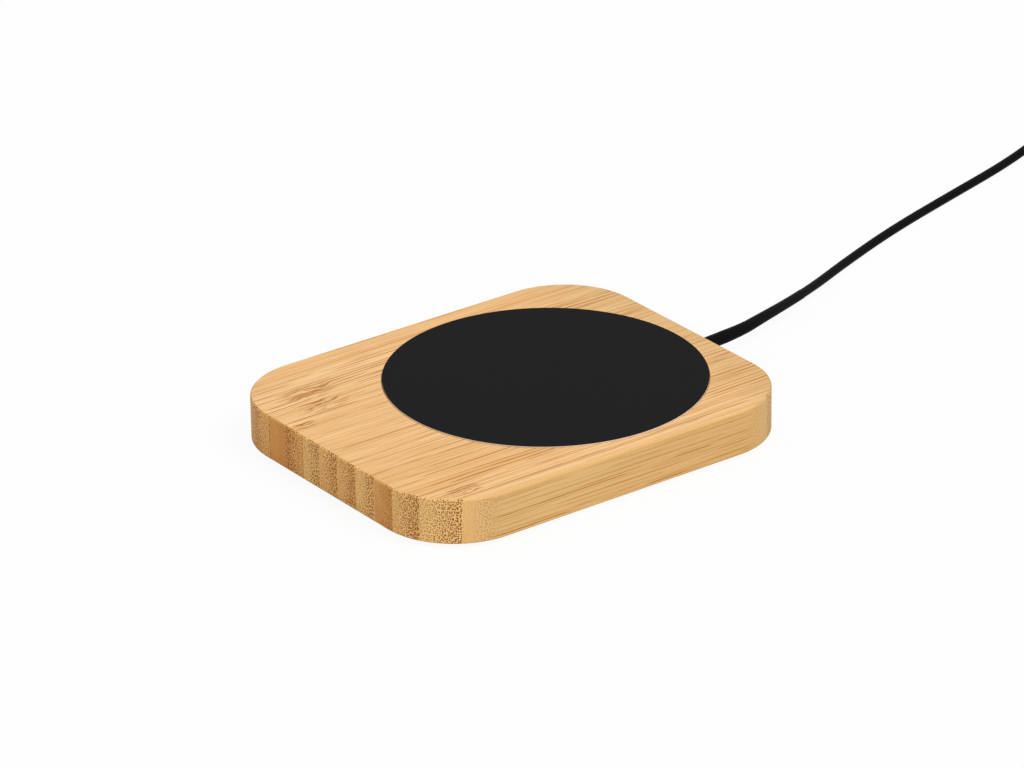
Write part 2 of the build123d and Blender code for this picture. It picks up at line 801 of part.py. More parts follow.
def bundle_outline(growth):
    """Bevelled outline round the coil's bundle of turns, grown on every side."""
    with BuildSketch() as outline:
        with Locations((coil_mid_radius, tie_thickness + coil_height / 2)):
            Rectangle(coil_width + 2 * growth, coil_height + 2 * growth)
        chamfer(outline.vertices(), length=coil_bevel + growth * (2 - math.sqrt(2)))
    return outline.sketch


with BuildPart() as cord_coil:
    with BuildSketch(coil_plane(0)):
        add(bundle_outline(0))
    revolve(axis=coil_axis)
    for stub_end, stub_heading in ((coil_entry, entry_heading), (coil_exit, inward * -1)):
        with BuildSketch(Plane(origin=stub_end, z_dir=stub_heading)):
            Circle(cord_radius)
        extrude(amount=stub_length)
cord_coil.part.label = "cord_coil"
export_step(cord_coil.part, "parts/cord_coil.step")

tie_width = 4.0
tie_arc = math.degrees(tie_width / coil_mid_radius)
tie_turn = 200.0  # from the cord's heading

with BuildPart() as cord_tie:
    with BuildSketch(coil_plane(tie_turn)):
        add(bundle_outline(tie_thickness))
        add(bundle_outline(0), mode=Mode.SUBTRACT)
    revolve(axis=coil_axis, revolution_arc=tie_arc)
cord_tie.part.label = "cord_tie"
export_step(cord_tie.part, "parts/cord_tie.step")

# ================= plug =================

cord_end_length = 9.0
flex_length = 9.0
flex_diameter = 4.0
flex_groove_count = 3
flex_groove_pitch = 2.2
flex_groove_width = 1.0
body_length = 24.0
body_width = 15.4
body_height = 2 * coil_row_height[1]
body_corner = 2.2
shoulder_length = 4.0
shoulder_width = 9.0
shoulder_height = 5.2
grip_groove_count = 4
grip_groove_pitch = 2.4
grip_groove_start = 8.0
grip_groove_depth = 0.4
shell_width = 12.0
shell_height = 4.5
shell_wall = 0.3
shell_corner = 0.6
shell_reach = 12.0
shell_hold = 3.0
window_size = 2.2
window_spacing = 5.0
window_setback = 6.4  # from the shell's mouth
insert_height = 1.8
insert_setback = 0.6
contact_count = 4
contact_pitch = 2.3
contact_thickness = 0.2

plug_across = inward.cross(upward)
flex_start = coil_exit + inward * cord_end_length
body_start = flex_start + inward * flex_length
body_front = body_start + inward * body_length


def plug_plane(origin):
    """Plane across the plug: its x runs across the plug, its y points up and its z towards the tip."""
    return Plane(origin=tuple(origin), x_dir=plug_across * -1, z_dir=inward)


with BuildPart() as cord_end:
    with BuildSketch(plug_plane(coil_exit)):
        Circle(cord_radius)
    extrude(amount=cord_end_length)
cord_end.part.label = "cord_end"
export_step(cord_end.part, "parts/cord_end.step")

with BuildPart() as usb_plug_body:
    with BuildSketch(plug_plane(body_start + inward * shoulder_length)):
        RectangleRounded(body_width, body_height, body_corner)
    extrude(amount=body_length - shoulder_length)
    with BuildSketch(plug_plane(body_start)):
        RectangleRounded(shoulder_width, shoulder_height, body_corner)
    with BuildSketch(plug_plane(body_start + inward * shoulder_length)):
        RectangleRounded(body_width, body_height, body_corner)
    loft()
    with BuildSketch(plug_plane(flex_start)):
        Circle(flex_diameter / 2 - 0.5)
    with BuildSketch(plug_plane(body_start)):
        Circle(flex_diameter / 2)
    loft()
    # ring grooves that let the sleeve flex
    for groove in range(flex_groove_count):
        groove_start = flex_start + inward * (1.6 + flex_groove_pitch * groove)
        with BuildSketch(plug_plane(groove_start)):
            Circle(flex_diameter)
            Circle(cord_radius + 0.25, mode=Mode.SUBTRACT)
        extrude(amount=flex_groove_width, mode=Mode.SUBTRACT)
    # finger grooves across both broad faces
    for side in (1, -1):
        face_height = coil_row_height[1] + side * body_height / 2
        for groove in range(grip_groove_count):
            middle = body_start + inward * (grip_groove_start + grip_groove_pitch * groove)
            groove_face = Plane((middle.X, middle.Y, face_height), x_dir=inward, z_dir=(0, 0, side))
            with BuildSketch(groove_face):
                SlotOverall(10.0, 1.0, rotation=90)
            extrude(amount=-grip_groove_depth, mode=Mode.SUBTRACT)
    # seat of the metal shell
    with BuildSketch(plug_plane(body_front)):
        RectangleRounded(shell_width, shell_height, shell_corner)
    extrude(amount=-shell_hold, mode=Mode.SUBTRACT)
usb_plug_body.part.label = "usb_plug_body"
export_step(usb_plug_body.part, "parts/usb_plug_body.step")

inner_width = shell_width - 2 * shell_wall
inner_height = shell_height - 2 * shell_wall
insert_play = 0.02

with BuildPart() as usb_plug_shell:
    with BuildSketch(plug_plane(body_front - inward * shell_hold)):
        RectangleRounded(shell_width, shell_height, shell_corner)
        RectangleRounded(inner_width, inner_height, shell_corner - shell_wall, mode=Mode.SUBTRACT)
    extrude(amount=shell_hold + shell_reach)
    # two latch windows in each broad wall
    window = body_front + inward * (shell_reach - window_setback)
    with BuildSketch(Plane((window.X, window.Y, 0), x_dir=inward, z_dir=(0, 0, 1))):
        with GridLocations(0, window_spacing, 1, 2):
            Rectangle(window_size, window_size)
    extrude(amount=2 * body_height, mode=Mode.SUBTRACT)
usb_plug_shell.part.label = "usb_plug_shell"
export_step(usb_plug_shell.part, "parts/usb_plug_shell.step")

with BuildPart() as usb_plug_insert:
    with BuildSketch(plug_plane(body_front - inward * shell_hold)):
        with Locations((0, inner_height / 2 - insert_height / 2)):
            RectangleRounded(inner_width - insert_play, insert_height, shell_corner - shell_wall + 0.05)
    extrude(amount=shell_hold + shell_reach - insert_setback)
    # the back of the insert fills the shell
    with BuildSketch(plug_plane(body_front - inward * shell_hold)):
        RectangleRounded(inner_width - insert_play, inner_height - insert_play, shell_corner - shell_wall)
    extrude(amount=shell_hold)
usb_plug_insert.part.label = "usb_plug_insert"
export_step(usb_plug_insert.part, "parts/usb_plug_insert.step")

with BuildPart() as usb_plug_contacts:
    with BuildSketch(plug_plane(body_front)):
        with Locations((0, inner_height / 2 - insert_height - contact_thickness / 2)):
            with GridLocations(contact_pitch, 0, contact_count, 1):
                Rectangle(1.0, contact_thickness)
    extrude(amount=shell_reach - 2.0)
usb_plug_contacts.part.label = "usb_plug_contacts"
export_step(usb_plug_contacts.part, "parts/usb_plug_contacts.step")

# ================= lengths and volumes of the cord =================

section = math.pi * cord_radius**2
with BuildLine() as run_line:
    FilletPolyline(*run_route, radius=run_radii)
run_length = run_line.wire().length
print("cord_run length", round(run_length, 2))
print("cord_run volume over section times length", round(cord_run.volume / (section * run_length), 4))
coil_turns = coil_columns * coil_rows + 0.25
coil_cord = 2 * math.pi * coil_mid_radius * coil_turns + 2 * stub_length
total_length = boot_length + run_length + coil_cord + cord_end_length
print("cord length outside the board", round(total_length, 1), "of it in the coil", round(coil_cord, 1))
print("coil centre", round(coil_centre.X, 2), round(coil_centre.Y, 2))
print("coil outer radius", round(outer_turn_radius + cord_radius, 2))
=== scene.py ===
import bpy
import bmesh
import math
from mathutils import Matrix, Vector


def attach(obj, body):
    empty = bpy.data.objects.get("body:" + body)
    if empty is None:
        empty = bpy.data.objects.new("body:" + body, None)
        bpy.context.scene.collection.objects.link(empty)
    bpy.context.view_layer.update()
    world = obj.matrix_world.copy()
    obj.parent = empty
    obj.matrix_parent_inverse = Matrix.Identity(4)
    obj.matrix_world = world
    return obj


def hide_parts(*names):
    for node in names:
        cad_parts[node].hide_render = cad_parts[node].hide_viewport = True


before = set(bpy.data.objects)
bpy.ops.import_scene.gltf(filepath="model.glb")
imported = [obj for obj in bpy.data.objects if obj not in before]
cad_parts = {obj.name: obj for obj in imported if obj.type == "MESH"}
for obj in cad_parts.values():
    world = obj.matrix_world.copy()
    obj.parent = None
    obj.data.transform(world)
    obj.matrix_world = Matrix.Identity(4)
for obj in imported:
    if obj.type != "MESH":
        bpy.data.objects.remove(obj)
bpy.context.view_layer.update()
mm = 0.001
print("frame loaded,", len(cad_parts), "nodes")

cameraValues = {
    "azimuth": -36.54,  # degrees, 0 looks along +Y
    "elevation": 25.15,
    "roll": -0.79,
    "distance": 1411.7 * mm,
    "aimRight": 0.11 * mm,
    "aimUp": 11.36 * mm,
    "aimHeight": 1.0 * mm,
    "sensor": 36.0,
    "lens": 204.8,
}


def addObject(name, data):
    made = bpy.data.objects.new(name, data)
    bpy.context.scene.collection.objects.link(made)
    return made


def addCamera(values):
    turn = Matrix.Rotation(math.radians(values["azimuth"]), 3, "Z")
    turn = turn @ Matrix.Rotation(math.radians(90 - values["elevation"]), 3, "X")
    turn = turn @ Matrix.Rotation(math.radians(values["roll"]), 3, "Z")
    place = turn @ Vector((values["aimRight"], values["aimUp"], values["distance"]))
    place.z += values["aimHeight"]
    data = bpy.data.cameras.new("camera")
    data.sensor_width = values["sensor"]
    data.lens = values["lens"]
    camera = addObject("camera", data)
    camera.matrix_world = Matrix.Translation(place) @ turn.to_4x4()
    bpy.context.scene.camera = camera


addCamera(cameraValues)
bpy.context.scene.view_settings.view_transform = "Standard"
print("camera placed")


def tint(shade):
    # a shade given as 0 to 255 on screen, turned linear
    parts = [part / 255 for part in shade]
    return tuple(p / 12.92 if p <= 0.04045 else ((p + 0.055) / 1.055) ** 2.4 for p in parts) + (1.0,)


class Wire:
    # a value inside a finish; arithmetic on it adds Math nodes
    def __init__(self, finish, socket):
        self.finish = finish
        self.socket = socket

    def math(self, operation, *values):
        sockets = dict(enumerate(values))
        return self.finish.node("ShaderNodeMath", sockets, {"operation": operation})["Value"]

    def __add__(self, other):
        return self.math("ADD", self, other)

    def __radd__(self, other):
        return self.math("ADD", other, self)

    def __sub__(self, other):
        return self.math("SUBTRACT", self, other)

    def __rsub__(self, other):
        return self.math("SUBTRACT", other, self)

    def __mul__(self, other):
        return self.math("MULTIPLY", self, other)

    def __rmul__(self, other):
        return self.math("MULTIPLY", other, self)

    def __truediv__(self, other):
        return self.math("DIVIDE", self, other)

    def __pow__(self, other):
        return self.math("POWER", self, other)

    def __abs__(self):
        return self.math("ABSOLUTE", self)

    def sign(self):
        return self.math("SIGN", self)

    def above(self, other):
        return self.math("MAXIMUM", self, other)

    def below(self, other):
        return self.math("MINIMUM", self, other)

    def part(self):
        return self.math("FRACT", self)

    def smooth(self, low, high):
        # 0 under low, 1 over high, and a soft step between
        settings = {"interpolation_type": "SMOOTHSTEP"}
        sockets = {"Value": self, "From Min": low, "From Max": high}
        return self.finish.node("ShaderNodeMapRange", sockets, settings)["Result"]


class Finish:
    # the nodes of a new material, or of the world
    def __init__(self, name, world=None):
        self.material = world or bpy.data.materials.new(name)
        self.material.use_nodes = True
        self.tree = self.material.node_tree
        self.tree.nodes.clear()

    def node(self, kind, sockets=None, settings=None):
        made = self.tree.nodes.new(kind)
        for name, value in (settings or {}).items():
            if name == "stops":
                self.setStops(made.color_ramp, value)
            elif name == "blend":
                made.color_ramp.interpolation = value
            else:
                setattr(made, name, value)
        for name, value in (sockets or {}).items():
            if isinstance(name, int):
                target = made.inputs[name]
            else:
                target = next(socket for socket in made.inputs if socket.name == name and socket.enabled)
            if isinstance(value, Wire):
                self.tree.links.new(value.socket, target)
            else:
                target.default_value = value
        return {socket.name: Wire(self, socket) for socket in made.outputs if socket.enabled}

    def setStops(self, ramp, stops):
        while len(ramp.elements) > 1:
            ramp.elements.remove(ramp.elements[-1])
        ramp.elements[0].position = stops[0][0]
        for place, _ in stops[1:]:
            ramp.elements.new(place)
        for element, (_, colour) in zip(ramp.elements, stops):
            element.color = colour

    def place(self, stretch=(1, 1, 1)):
        # where a point of the surface is, in millimetres
        sockets = {0: self.node("ShaderNodeTexCoord")["Object"], 1: [part / mm for part in stretch]}
        return self.node("ShaderNodeVectorMath", sockets, {"operation": "MULTIPLY"})["Vector"]

    def facing(self):
        return self.split(self.node("ShaderNodeNewGeometry")["Normal"])

    def split(self, vector):
        parts = self.node("ShaderNodeSeparateXYZ", {"Vector": vector})
        return parts["X"], parts["Y"], parts["Z"]

    def join(self, x, y, z):
        return self.node("ShaderNodeCombineXYZ", {"X": x, "Y": y, "Z": z})["Vector"]

    def noise(self, vector, scale=1.0, detail=2.0, roughness=0.5):
        sockets = {"Vector": vector, "Scale": scale, "Detail": detail, "Roughness": roughness}
        return self.node("ShaderNodeTexNoise", sockets)["Fac"]

    def cells(self, dimensions, **sockets):
        # how far the nearest of many scattered points is, and a chance number of its own
        spots = self.node("ShaderNodeTexVoronoi", sockets, {"voronoi_dimensions": dimensions})
        return spots["Distance"], self.node("ShaderNodeSeparateColor", {"Color": spots["Color"]})["Red"]

    def ramp(self, value, stops, blend="LINEAR"):
        # the three numbers that a ramp gives for a value
        settings = {"stops": stops, "blend": blend}
        colour = self.node("ShaderNodeValToRGB", {"Fac": value}, settings)["Color"]
        parts = self.node("ShaderNodeSeparateColor", {"Color": colour})
        return parts["Red"], parts["Green"], parts["Blue"]

    def mix(self, share, first, second):
        # share of the second colour over the first
        sockets = {"Factor": share, "A": first, "B": second}
        return self.node("ShaderNodeMix", sockets, {"data_type": "RGBA"})["Result"]

    def bump(self, height, depth):
        # relief of the given depth in millimetres
        sockets = {"Height": height, "Strength": 1.0, "Distance": depth * mm}
        return self.node("ShaderNodeBump", sockets)["Normal"]

    def seenDirectly(self):
        # 1 for rays that show the surroundings plain white
        path = self.node("ShaderNodeLightPath")
        return path["Is Camera Ray"].above(path["Is Glossy Ray"]).above(path["Is Transmission Ray"])

    def surface(self, **sockets):
        named = {name.replace("_", " "): value for name, value in sockets.items()}
        shader = self.node("ShaderNodeBsdfPrincipled", named)["BSDF"]
        self.node("ShaderNodeOutputMaterial", {"Surface": shader})
        return self.material


# for a plain finish whose own values don't say otherwise
plainValues = {
    "grainSize": 0.2,  # in mm
    "grainDepth": 0.01,  # in mm
    "stretch": (1, 1, 1),  # makes the grain closer along x, y and z
    "cloudScale": 0.12,  # clouds in a mm
    "cloudShare": 0.6,  # the clouds' share in the changes of shade; the rest is the grain's
    "contrast": (0.35, 0.65),  # levels of cloud and grain at which a spot is darkest and lightest
    "lift": 1.2,  # the lightest spots against the shade
    "unevenness": 0.12,  # of the roughness
    "metallic": 0.0,
    "specular": 0.4,
    "coat": 0.0,
    "coatRoughness": 0.15,
}


def plainFinish(name, ownValues):
    # soft clouds of shade, a fine grain and its relief
    values = {**plainValues, **ownValues}
    finish = Finish(name)
    grain = finish.noise(finish.place(values["stretch"]), 1 / values["grainSize"], 3.0, 0.6)
    cloud = finish.noise(finish.place(), values["cloudScale"])
    lighter = tuple(min(255, part * values["lift"]) for part in values["shade"])
    level = cloud * values["cloudShare"] + grain * (1 - values["cloudShare"])
    share = level.smooth(*values["contrast"])
    return finish.surface(
        Base_Color=finish.mix(share, tint(values["shade"]), tint(lighter)),
        Roughness=values["roughness"] + (grain - 0.5) * values["unevenness"],
        Metallic=values["metallic"],
        Specular_IOR_Level=values["specular"],
        Coat_Weight=values["coat"],
        Coat_Roughness=values["coatRoughness"],
        Normal=finish.bump(grain, values["grainDepth"]),
    )


# lengths in mm
bambooValues = {
    "halfWidth": 45.5,  # a little past the board's sides
    # where the glue lines run across the board, from +Y to -Y, and how far they stray
    "glueLines": [38.1, 30.8, 23.3, 16.5, 9.4, 2.5, -4.7, -12.2, -19.6, -26.9, -34.4, -41.9],
    "glueWander": 0.25,
    # per strip from +Y, all 0 to 1: paleness of top and of end, pores in the end, dark lines in the top;
    # then the side that the skin of the cane is on
    "strips": [
        (0.58, 0.62, 0.62, 0.45, "-Y"),
        (0.78, 0.50, 0.74, 0.80, "-Y"),
        (0.75, 0.44, 0.78, 0.90, "+Y"),
        (0.70, 0.16, 0.30, 0.60, "-Y"),
        (0.70, 0.42, 1.00, 0.55, "+Y"),
        (0.70, 0.72, 0.80, 0.40, "-Y"),
        (0.68, 0.62, 0.82, 0.60, "-Y"),
        (0.68, 0.56, 0.75, 0.60, "-Y"),
        (0.62, 0.74, 0.75, 0.65, "-Y"),
        (0.60, 0.28, 0.52, 0.60, "-Y"),
        (0.55, 0.72, 0.80, 0.85, "-Y"),
        (0.74, 1.00, 0.82, 0.80, "-Y"),
        (0.74, 0.80, 0.42, 0.40, "-Y"),
    ],
    # how far a face turns where a look sets in, and where it is whole
    "endGrainTurn": (0.03, 0.32),
    "sideTurn": (0.45, 0.75),
    "endTurn": (0.06, 0.75),
    "edgeTurn": (0.3, 0.9),
    # joints of the cane: middle x, middle y, reach along x, reach along y
    "knuckles": [
        (-39.5, 28.5, 8.5, 4.5),
        (-40.5, 20.5, 8.5, 4.0),
        (-51.0, 14.0, 4.0, 2.4),
        (-42.5, -38.0, 6.5, 3.5),
    ],
    "sway": 2.6,  # how far the fibres stray across the board
    "rise": 2.0,  # up and down
    "swirl": 3.4,  # in a knuckle
    "curl": 0.6,  # and what its fine lines stray more
    # thin lines along the fibres: spacing, width, strength, a number that shifts the pattern, and how
    # quickly a line comes and goes along its length
    "topFine": (0.7, 0.24, 1.3, 9, 0.05),
    "topBroad": (1.8, 0.34, 1.69, 60, 0.05),
    "knuckleFine": (0.8, 0.26, 1.3, 90, 0.15),
    "knuckleBroad": (1.2, 0.32, 1.3, 130, 0.20),
    "sideFine": (0.6, 0.13, 1.0, 20, 0.05),
    "sideBroad": (1.5, 0.17, 1.6, 40, 0.05),
    "lineBreaks": (0.40, 0.55),  # noise at which a line is gone, and at which it is whole
    "lineUnevenness": 0.75,
    "pithLines": 0.55,  # strength of the top's lines at a strip's pith side
    "knuckleLines": 0.6,  # and in a knuckle
    "topLimit": 0.85,  # the most that lines cover
    "sideLimit": 0.95,
    # clouds of shade in each cut, broad and fine ones, and the depth of shade that they change
    "topClouds": (0.9, 0.9),
    "sideClouds": (0.4, 0.8),
    "endClouds": (0.5, 0.7),
    "topDepth": 1.1,  # less each strip's own paleness
    "sideDepth": 0.4,
    "skinDepth": 0.15,  # what an end is deeper by at a strip's skin side
    # where a change sets in, where it is whole and how much of it there is
    "farTopShade": (30.0, 55.0, 0.45),  # along x; this row and the next two paint shade towards the cord's end
    "farSideShade": (-30.0, 55.0, 0.5),
    "farEndGrain": (0.0, 40.0, 1.0),
    "farPores": (10.0, 40.0, 0.45),
    "corner": (22.0, 44.0, 0.4),  # across y; painted reflection on the ends towards +Y
    "flecks": (0.10, 0.18, 0.75),  # in the noise
    # fibre bundles cut across; their measures are shares of the spacing
    "poreSpacing": 0.56,
    "poreSize": 0.15,
    "poreGrowth": 0.12,  # where they stand close
    "poreRim": 0.22,
    "poreScatter": 0.8,  # 0 is a square pattern, 1 the most uneven
    "poreLean": 0.5,  # shifts the pattern round the corners
    # strength, what it lacks at a strip's pith side, the least that is left, and how uneven it is
    "poreStrength": (1.5, 0.5, 0.18, 0.25),
    "edgeWearAndHighlight": (0.5, 0.25),  # paler rounded edges, from sanding and a painted highlight: strength, and what the ends lack of it
    "topPale": (247, 205, 151),
    "topDeep": (228, 175, 110),
    "streak": (170, 104, 46),
    "fleck": (146, 88, 46),
    "sidePale": (233, 192, 132),
    "sideDeep": (222, 177, 115),
    "sideStreak": (176, 122, 46),
    "endPale": (254, 206, 134),
    "endDeep": (218, 154, 86),
    "paintedFarShade": (206, 171, 119),  # painted shade towards the cord's end
    "paintedCornerReflection": (236, 212, 184),  # painted reflection on the ends, towards +Y
    "pore": (124, 52, 0),
    # rounded edges: sanded, and a painted highlight
    "edge": (236, 186, 108),
    "roughness": 0.55,
    "unevenness": 0.14,  # of the roughness
    "specular": 0.03,
    "relief": 0.0125,
}


def mixed(share, first, second):
    # share of the second number over the first
    return second * share + first * (1 - share)


class BambooFinish(Finish):
    # glued strips of cane, cut along the fibres on top and sides and across them at the ends
    def __init__(self, values):
        super().__init__("oiledBamboo")
        self.values = values
        self.x, self.y, self.z = self.split(self.place())
        facingX, facingY, facingZ = (abs(part) for part in self.facing())
        self.endGrain = facingX.smooth(*values["endGrainTurn"])
        self.sideways = facingY.smooth(*values["sideTurn"])
        self.endways = mixed(self.sideways, self.endGrain, facingX.smooth(*values["endTurn"]))
        self.rounded = (facingZ * (1 - facingZ) * 4).smooth(*values["edgeTurn"])
        self.readStrips()
        self.readKnuckles()
        self.bendFibres()

    def tone(self, name):
        return tint(self.values[name])

    def drift(self, x, y, z, detail=1.0, roughness=0.5):
        # noise about 0; a factor of x, y or z is how often the noise changes in a mm that way
        return self.noise(self.join(x, y, z), detail=detail, roughness=roughness) - 0.5

    def change(self, measure, kind):
        # 0 before a change sets in, and after it as much of it as there is
        start, whole, most = self.values[kind]
        return measure.smooth(start, whole) * most

    def readStrips(self):
        # which strip a point is in, what that strip is like and how near its skin side is
        half, strips = self.values["halfWidth"], self.values["strips"]
        edges = [half] + self.values["glueLines"] + [-half]
        count = len(strips)
        wander = self.drift(self.x * 0.02, self.y * 0.2, self.z * 0.1) * self.values["glueWander"]
        # number of the strip from +Y, with the share of the way across it after the point
        stops = [((half - edge) / (2 * half), (i / count,) * 3 + (1,)) for i, edge in enumerate(edges)]
        strip = self.ramp((half - self.y + wander) / (2 * half), stops)[0] * count
        share = strip.part()
        self.seed = (strip - share) * 5.37  # gives each strip a grain of its own
        stops = [(i / count, row[:3] + (1,)) for i, row in enumerate(strips)]
        self.topPaleness, self.endPaleness, self.pores = self.ramp(strip / count, stops, "CONSTANT")
        stops = [(i / count, (row[3], float(row[4] == "-Y"), 0, 1)) for i, row in enumerate(strips)]
        self.lined, side, _ = self.ramp(strip / count, stops, "CONSTANT")
        # 1 at the strip's skin side, where the fibres stand close, and 0 at its pith side
        self.skin = mixed(side, 1 - share, share).smooth(0.1, 1.0)

    def readKnuckles(self):
        # 1 in the middle of a joint of the cane, where the fibres swirl, and 0 away from all of them
        nearest = None
        for middleX, middleY, reachX, reachY in self.values["knuckles"]:
            away = ((self.x - middleX) / reachX) ** 2 + ((self.y - middleY) / reachY) ** 2
            spot = 1 - away.smooth(0.1, 1.0)
            nearest = spot if nearest is None else nearest.above(spot)
        self.knuckle = nearest * (1 - self.sideways)

    def bendFibres(self):
        # where a fibre would be if it ran straight, and the clouds of shade that follow the fibres
        sway = self.drift(self.x * 0.016, self.y * 0.11, 0.5)
        rise = self.drift(self.x * 0.008, 4.5, self.z * 0.08)
        self.swirl = self.drift(self.x * 0.13, self.y * 0.30, self.z * 0.3)
        self.bentY = self.y + sway * self.values["sway"] + self.swirl * self.knuckle * self.values["swirl"]
        self.bentZ = self.z + rise * self.values["rise"]
        self.broad = self.drift(self.x * 0.012, self.bentY * 0.5 + self.seed, self.bentZ * 0.3, 2.0)
        self.fine = self.drift(self.x * 0.05 + self.seed, self.bentY * 2.2, self.bentZ * 2.2, 3.0, 0.6)

    def clouded(self, level, kind):
        # a level from 0 to 1 with the clouds of one of the cuts
        broad, fine = self.values[kind]
        return (level + self.broad * broad + self.fine * fine).smooth(0.0, 1.0)

    def fineLines(self, across, kind):
        # thin lines along the cane, each with its own strength and gaps
        spacing, width, strength, shift, pace = self.values[kind]
        uneven = self.values["lineUnevenness"]
        place = across / spacing + (self.seed + shift)
        distance, chance = self.cells("1D", W=place, Scale=1.0, Randomness=1.0)
        stretches = self.noise(self.join(self.x * pace, chance * 50, shift), detail=1.0)
        lines = (1 - distance.smooth(0.0, width / spacing)) * stretches.smooth(*self.values["lineBreaks"])
        return lines * (1 - uneven + uneven * chance) * strength

    def topCut(self):
        # soft bands, then lines that are darker near the skin side, then the curls and flecks of knuckles
        values = self.values
        deep = self.clouded(values["topDepth"] - self.topPaleness, "topClouds")
        top = self.mix(deep, self.tone("topPale"), self.tone("topDeep"))
        # painted shade towards the cord's end
        top = self.mix(self.change(self.x, "farTopShade"), top, self.tone("paintedFarShade"))
        lines = self.fineLines(self.bentY, "topFine") + self.fineLines(self.bentY, "topBroad")
        lines = lines * self.lined * mixed(self.skin, values["pithLines"], 1.0)
        curls = self.fineLines(self.bentY + self.swirl * values["curl"], "knuckleFine")
        curls = curls + self.fineLines(self.bentY, "knuckleBroad")
        lines = lines * mixed(self.knuckle, 1.0, values["knuckleLines"]) + curls * self.knuckle
        top = self.mix(lines.below(values["topLimit"]), top, self.tone("streak"))
        flecks = self.change(self.drift(self.x * 0.30, self.bentY * 2.2 + 5, 0.0), "flecks")
        return self.mix(self.knuckle * flecks, top, self.tone("fleck"))

    def sideCut(self):
        # soft bands, made deeper towards the cord's end by painted shade, and thin lines
        deep = self.clouded(self.values["sideDepth"] + self.change(self.x, "farSideShade"), "sideClouds")
        side = self.mix(deep, self.tone("sidePale"), self.tone("sideDeep"))
        lines = self.fineLines(self.bentZ, "sideFine") + self.fineLines(self.bentZ, "sideBroad")
        share = lines.below(self.values["sideLimit"]) * (1 - self.endGrain)
        return self.mix(share, side, self.tone("sideStreak"))

    def endCut(self):
        pale = self.clouded(self.endPaleness - self.skin * self.values["skinDepth"], "endClouds")
        end = self.mix(pale, self.tone("endDeep"), self.tone("endPale"))
        # painted shade towards the cord's end, which there takes the place of the strips' own tones
        return self.mix(self.change(self.x, "farEndGrain"), end, self.tone("paintedFarShade"))

    def poreDots(self):
        # fibre bundles: dots where the cane is cut across, strongest near the skin side
        # on the round corners they follow the surface, so that they stay small there
        values = self.values
        most, lack, least, uneven = values["poreStrength"]
        lean = self.y.sign() * abs(self.x) * values["poreLean"]
        place = self.join(self.bentY - lean, self.bentZ, 0.0)
        scatter = {"Scale": 1 / values["poreSpacing"], "Randomness": values["poreScatter"]}
        distance, chance = self.cells("2D", Vector=place, **scatter)
        strength = (self.pores * most - lack * (1 - self.skin)).above(least).below(1.0)
        strength = strength * (1 - uneven + uneven * chance) * (1 - self.change(self.x, "farPores"))
        size = values["poreSize"] + self.skin * self.pores * values["poreGrowth"]
        return (1 - distance.smooth(size, size + values["poreRim"])) * strength * self.endGrain

    def finished(self):
        values = self.values
        dots = self.poreDots()
        colour = self.mix(self.sideways, self.topCut(), self.sideCut())
        colour = self.mix(self.endways, colour, self.endCut())
        colour = self.mix(dots, colour, self.tone("pore"))
        # painted reflection on the ends, towards +Y
        colour = self.mix(self.change(self.y, "corner") * self.endGrain, colour, self.tone("paintedCornerReflection"))
        # paler rounded edges: sanded, and a painted highlight; less on the ends and none over the dots
        wearAndHighlight, lack = values["edgeWearAndHighlight"]
        wornAndLit = self.rounded * (wearAndHighlight - self.endGrain * lack) * (1 - dots)
        colour = self.mix(wornAndLit, colour, self.tone("edge"))
        return self.surface(
            Base_Color=colour,
            Roughness=values["roughness"] + (self.fine + 0.5) * values["unevenness"],
            Specular_IOR_Level=values["specular"],
            Normal=self.bump(1 - self.fine, values["relief"]),
        )


studioValues = {
    "floorSize": 4.0,
    "floorShade": (238, 238, 238),
    "floorGlow": 0.93,  # share of the floor that shows plain white; the rest keeps the shadow
    "skyStrength": 0.52,
    # soft lights: name, place, size, power
    "softboxes": [("key", (0.45, -0.95, 1.75), 1.1, 23.3), ("rim", (-0.35, 1.5, 1.25), 1.0, 3.0)],
}


def addFloor(values):
    finish = Finish("paleFloor")
    matt = finish.node("ShaderNodeBsdfDiffuse", {"Color": tint(values["floorShade"])})["BSDF"]
    glow = finish.node("ShaderNodeEmission", {"Color": (1, 1, 1, 1), "Strength": 1.0})["Emission"]
    sockets = {0: finish.seenDirectly() * values["floorGlow"], 1: matt, 2: glow}
    shader = finish.node("ShaderNodeMixShader", sockets)["Shader"]
    finish.node("ShaderNodeOutputMaterial", {"Surface": shader})
    half = values["floorSize"] / 2
    mesh = bpy.data.meshes.new("floor")
    corners = [(-half, -half, 0), (half, -half, 0), (half, half, 0), (-half, half, 0)]
    mesh.from_pydata(corners, [], [(0, 1, 2, 3)])
    mesh.materials.append(finish.material)
    addObject("floor", mesh)


def addSky(values):
    world = bpy.data.worlds.new("studio")
    bpy.context.scene.world = world
    finish = Finish("studio", world)
    dim = values["skyStrength"]
    sockets = {"Color": (1, 1, 1, 1), "Strength": finish.seenDirectly() * (1 - dim) + dim}
    sky = finish.node("ShaderNodeBackground", sockets)["Background"]
    finish.node("ShaderNodeOutputWorld", {"Surface": sky})


def addSoftbox(name, place, size, power):
    data = bpy.data.lights.new(name, "AREA")
    data.shape = "DISK"
    data.size = size
    data.energy = power
    light = addObject(name, data)
    light.location = place
    light.rotation_mode = "QUATERNION"
    light.rotation_quaternion = Vector(place).to_track_quat("Z", "Y")


addFloor(studioValues)
addSky(studioValues)
for softbox in studioValues["softboxes"]:
    addSoftbox(*softbox)
print("floor and light ready")


def addPiece(name, data, material, replaced):
    data.materials.clear()
    data.materials.append(material)
    piece = addObject(name, data)
    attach(piece, "root")
    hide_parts(*replaced)
    return piece


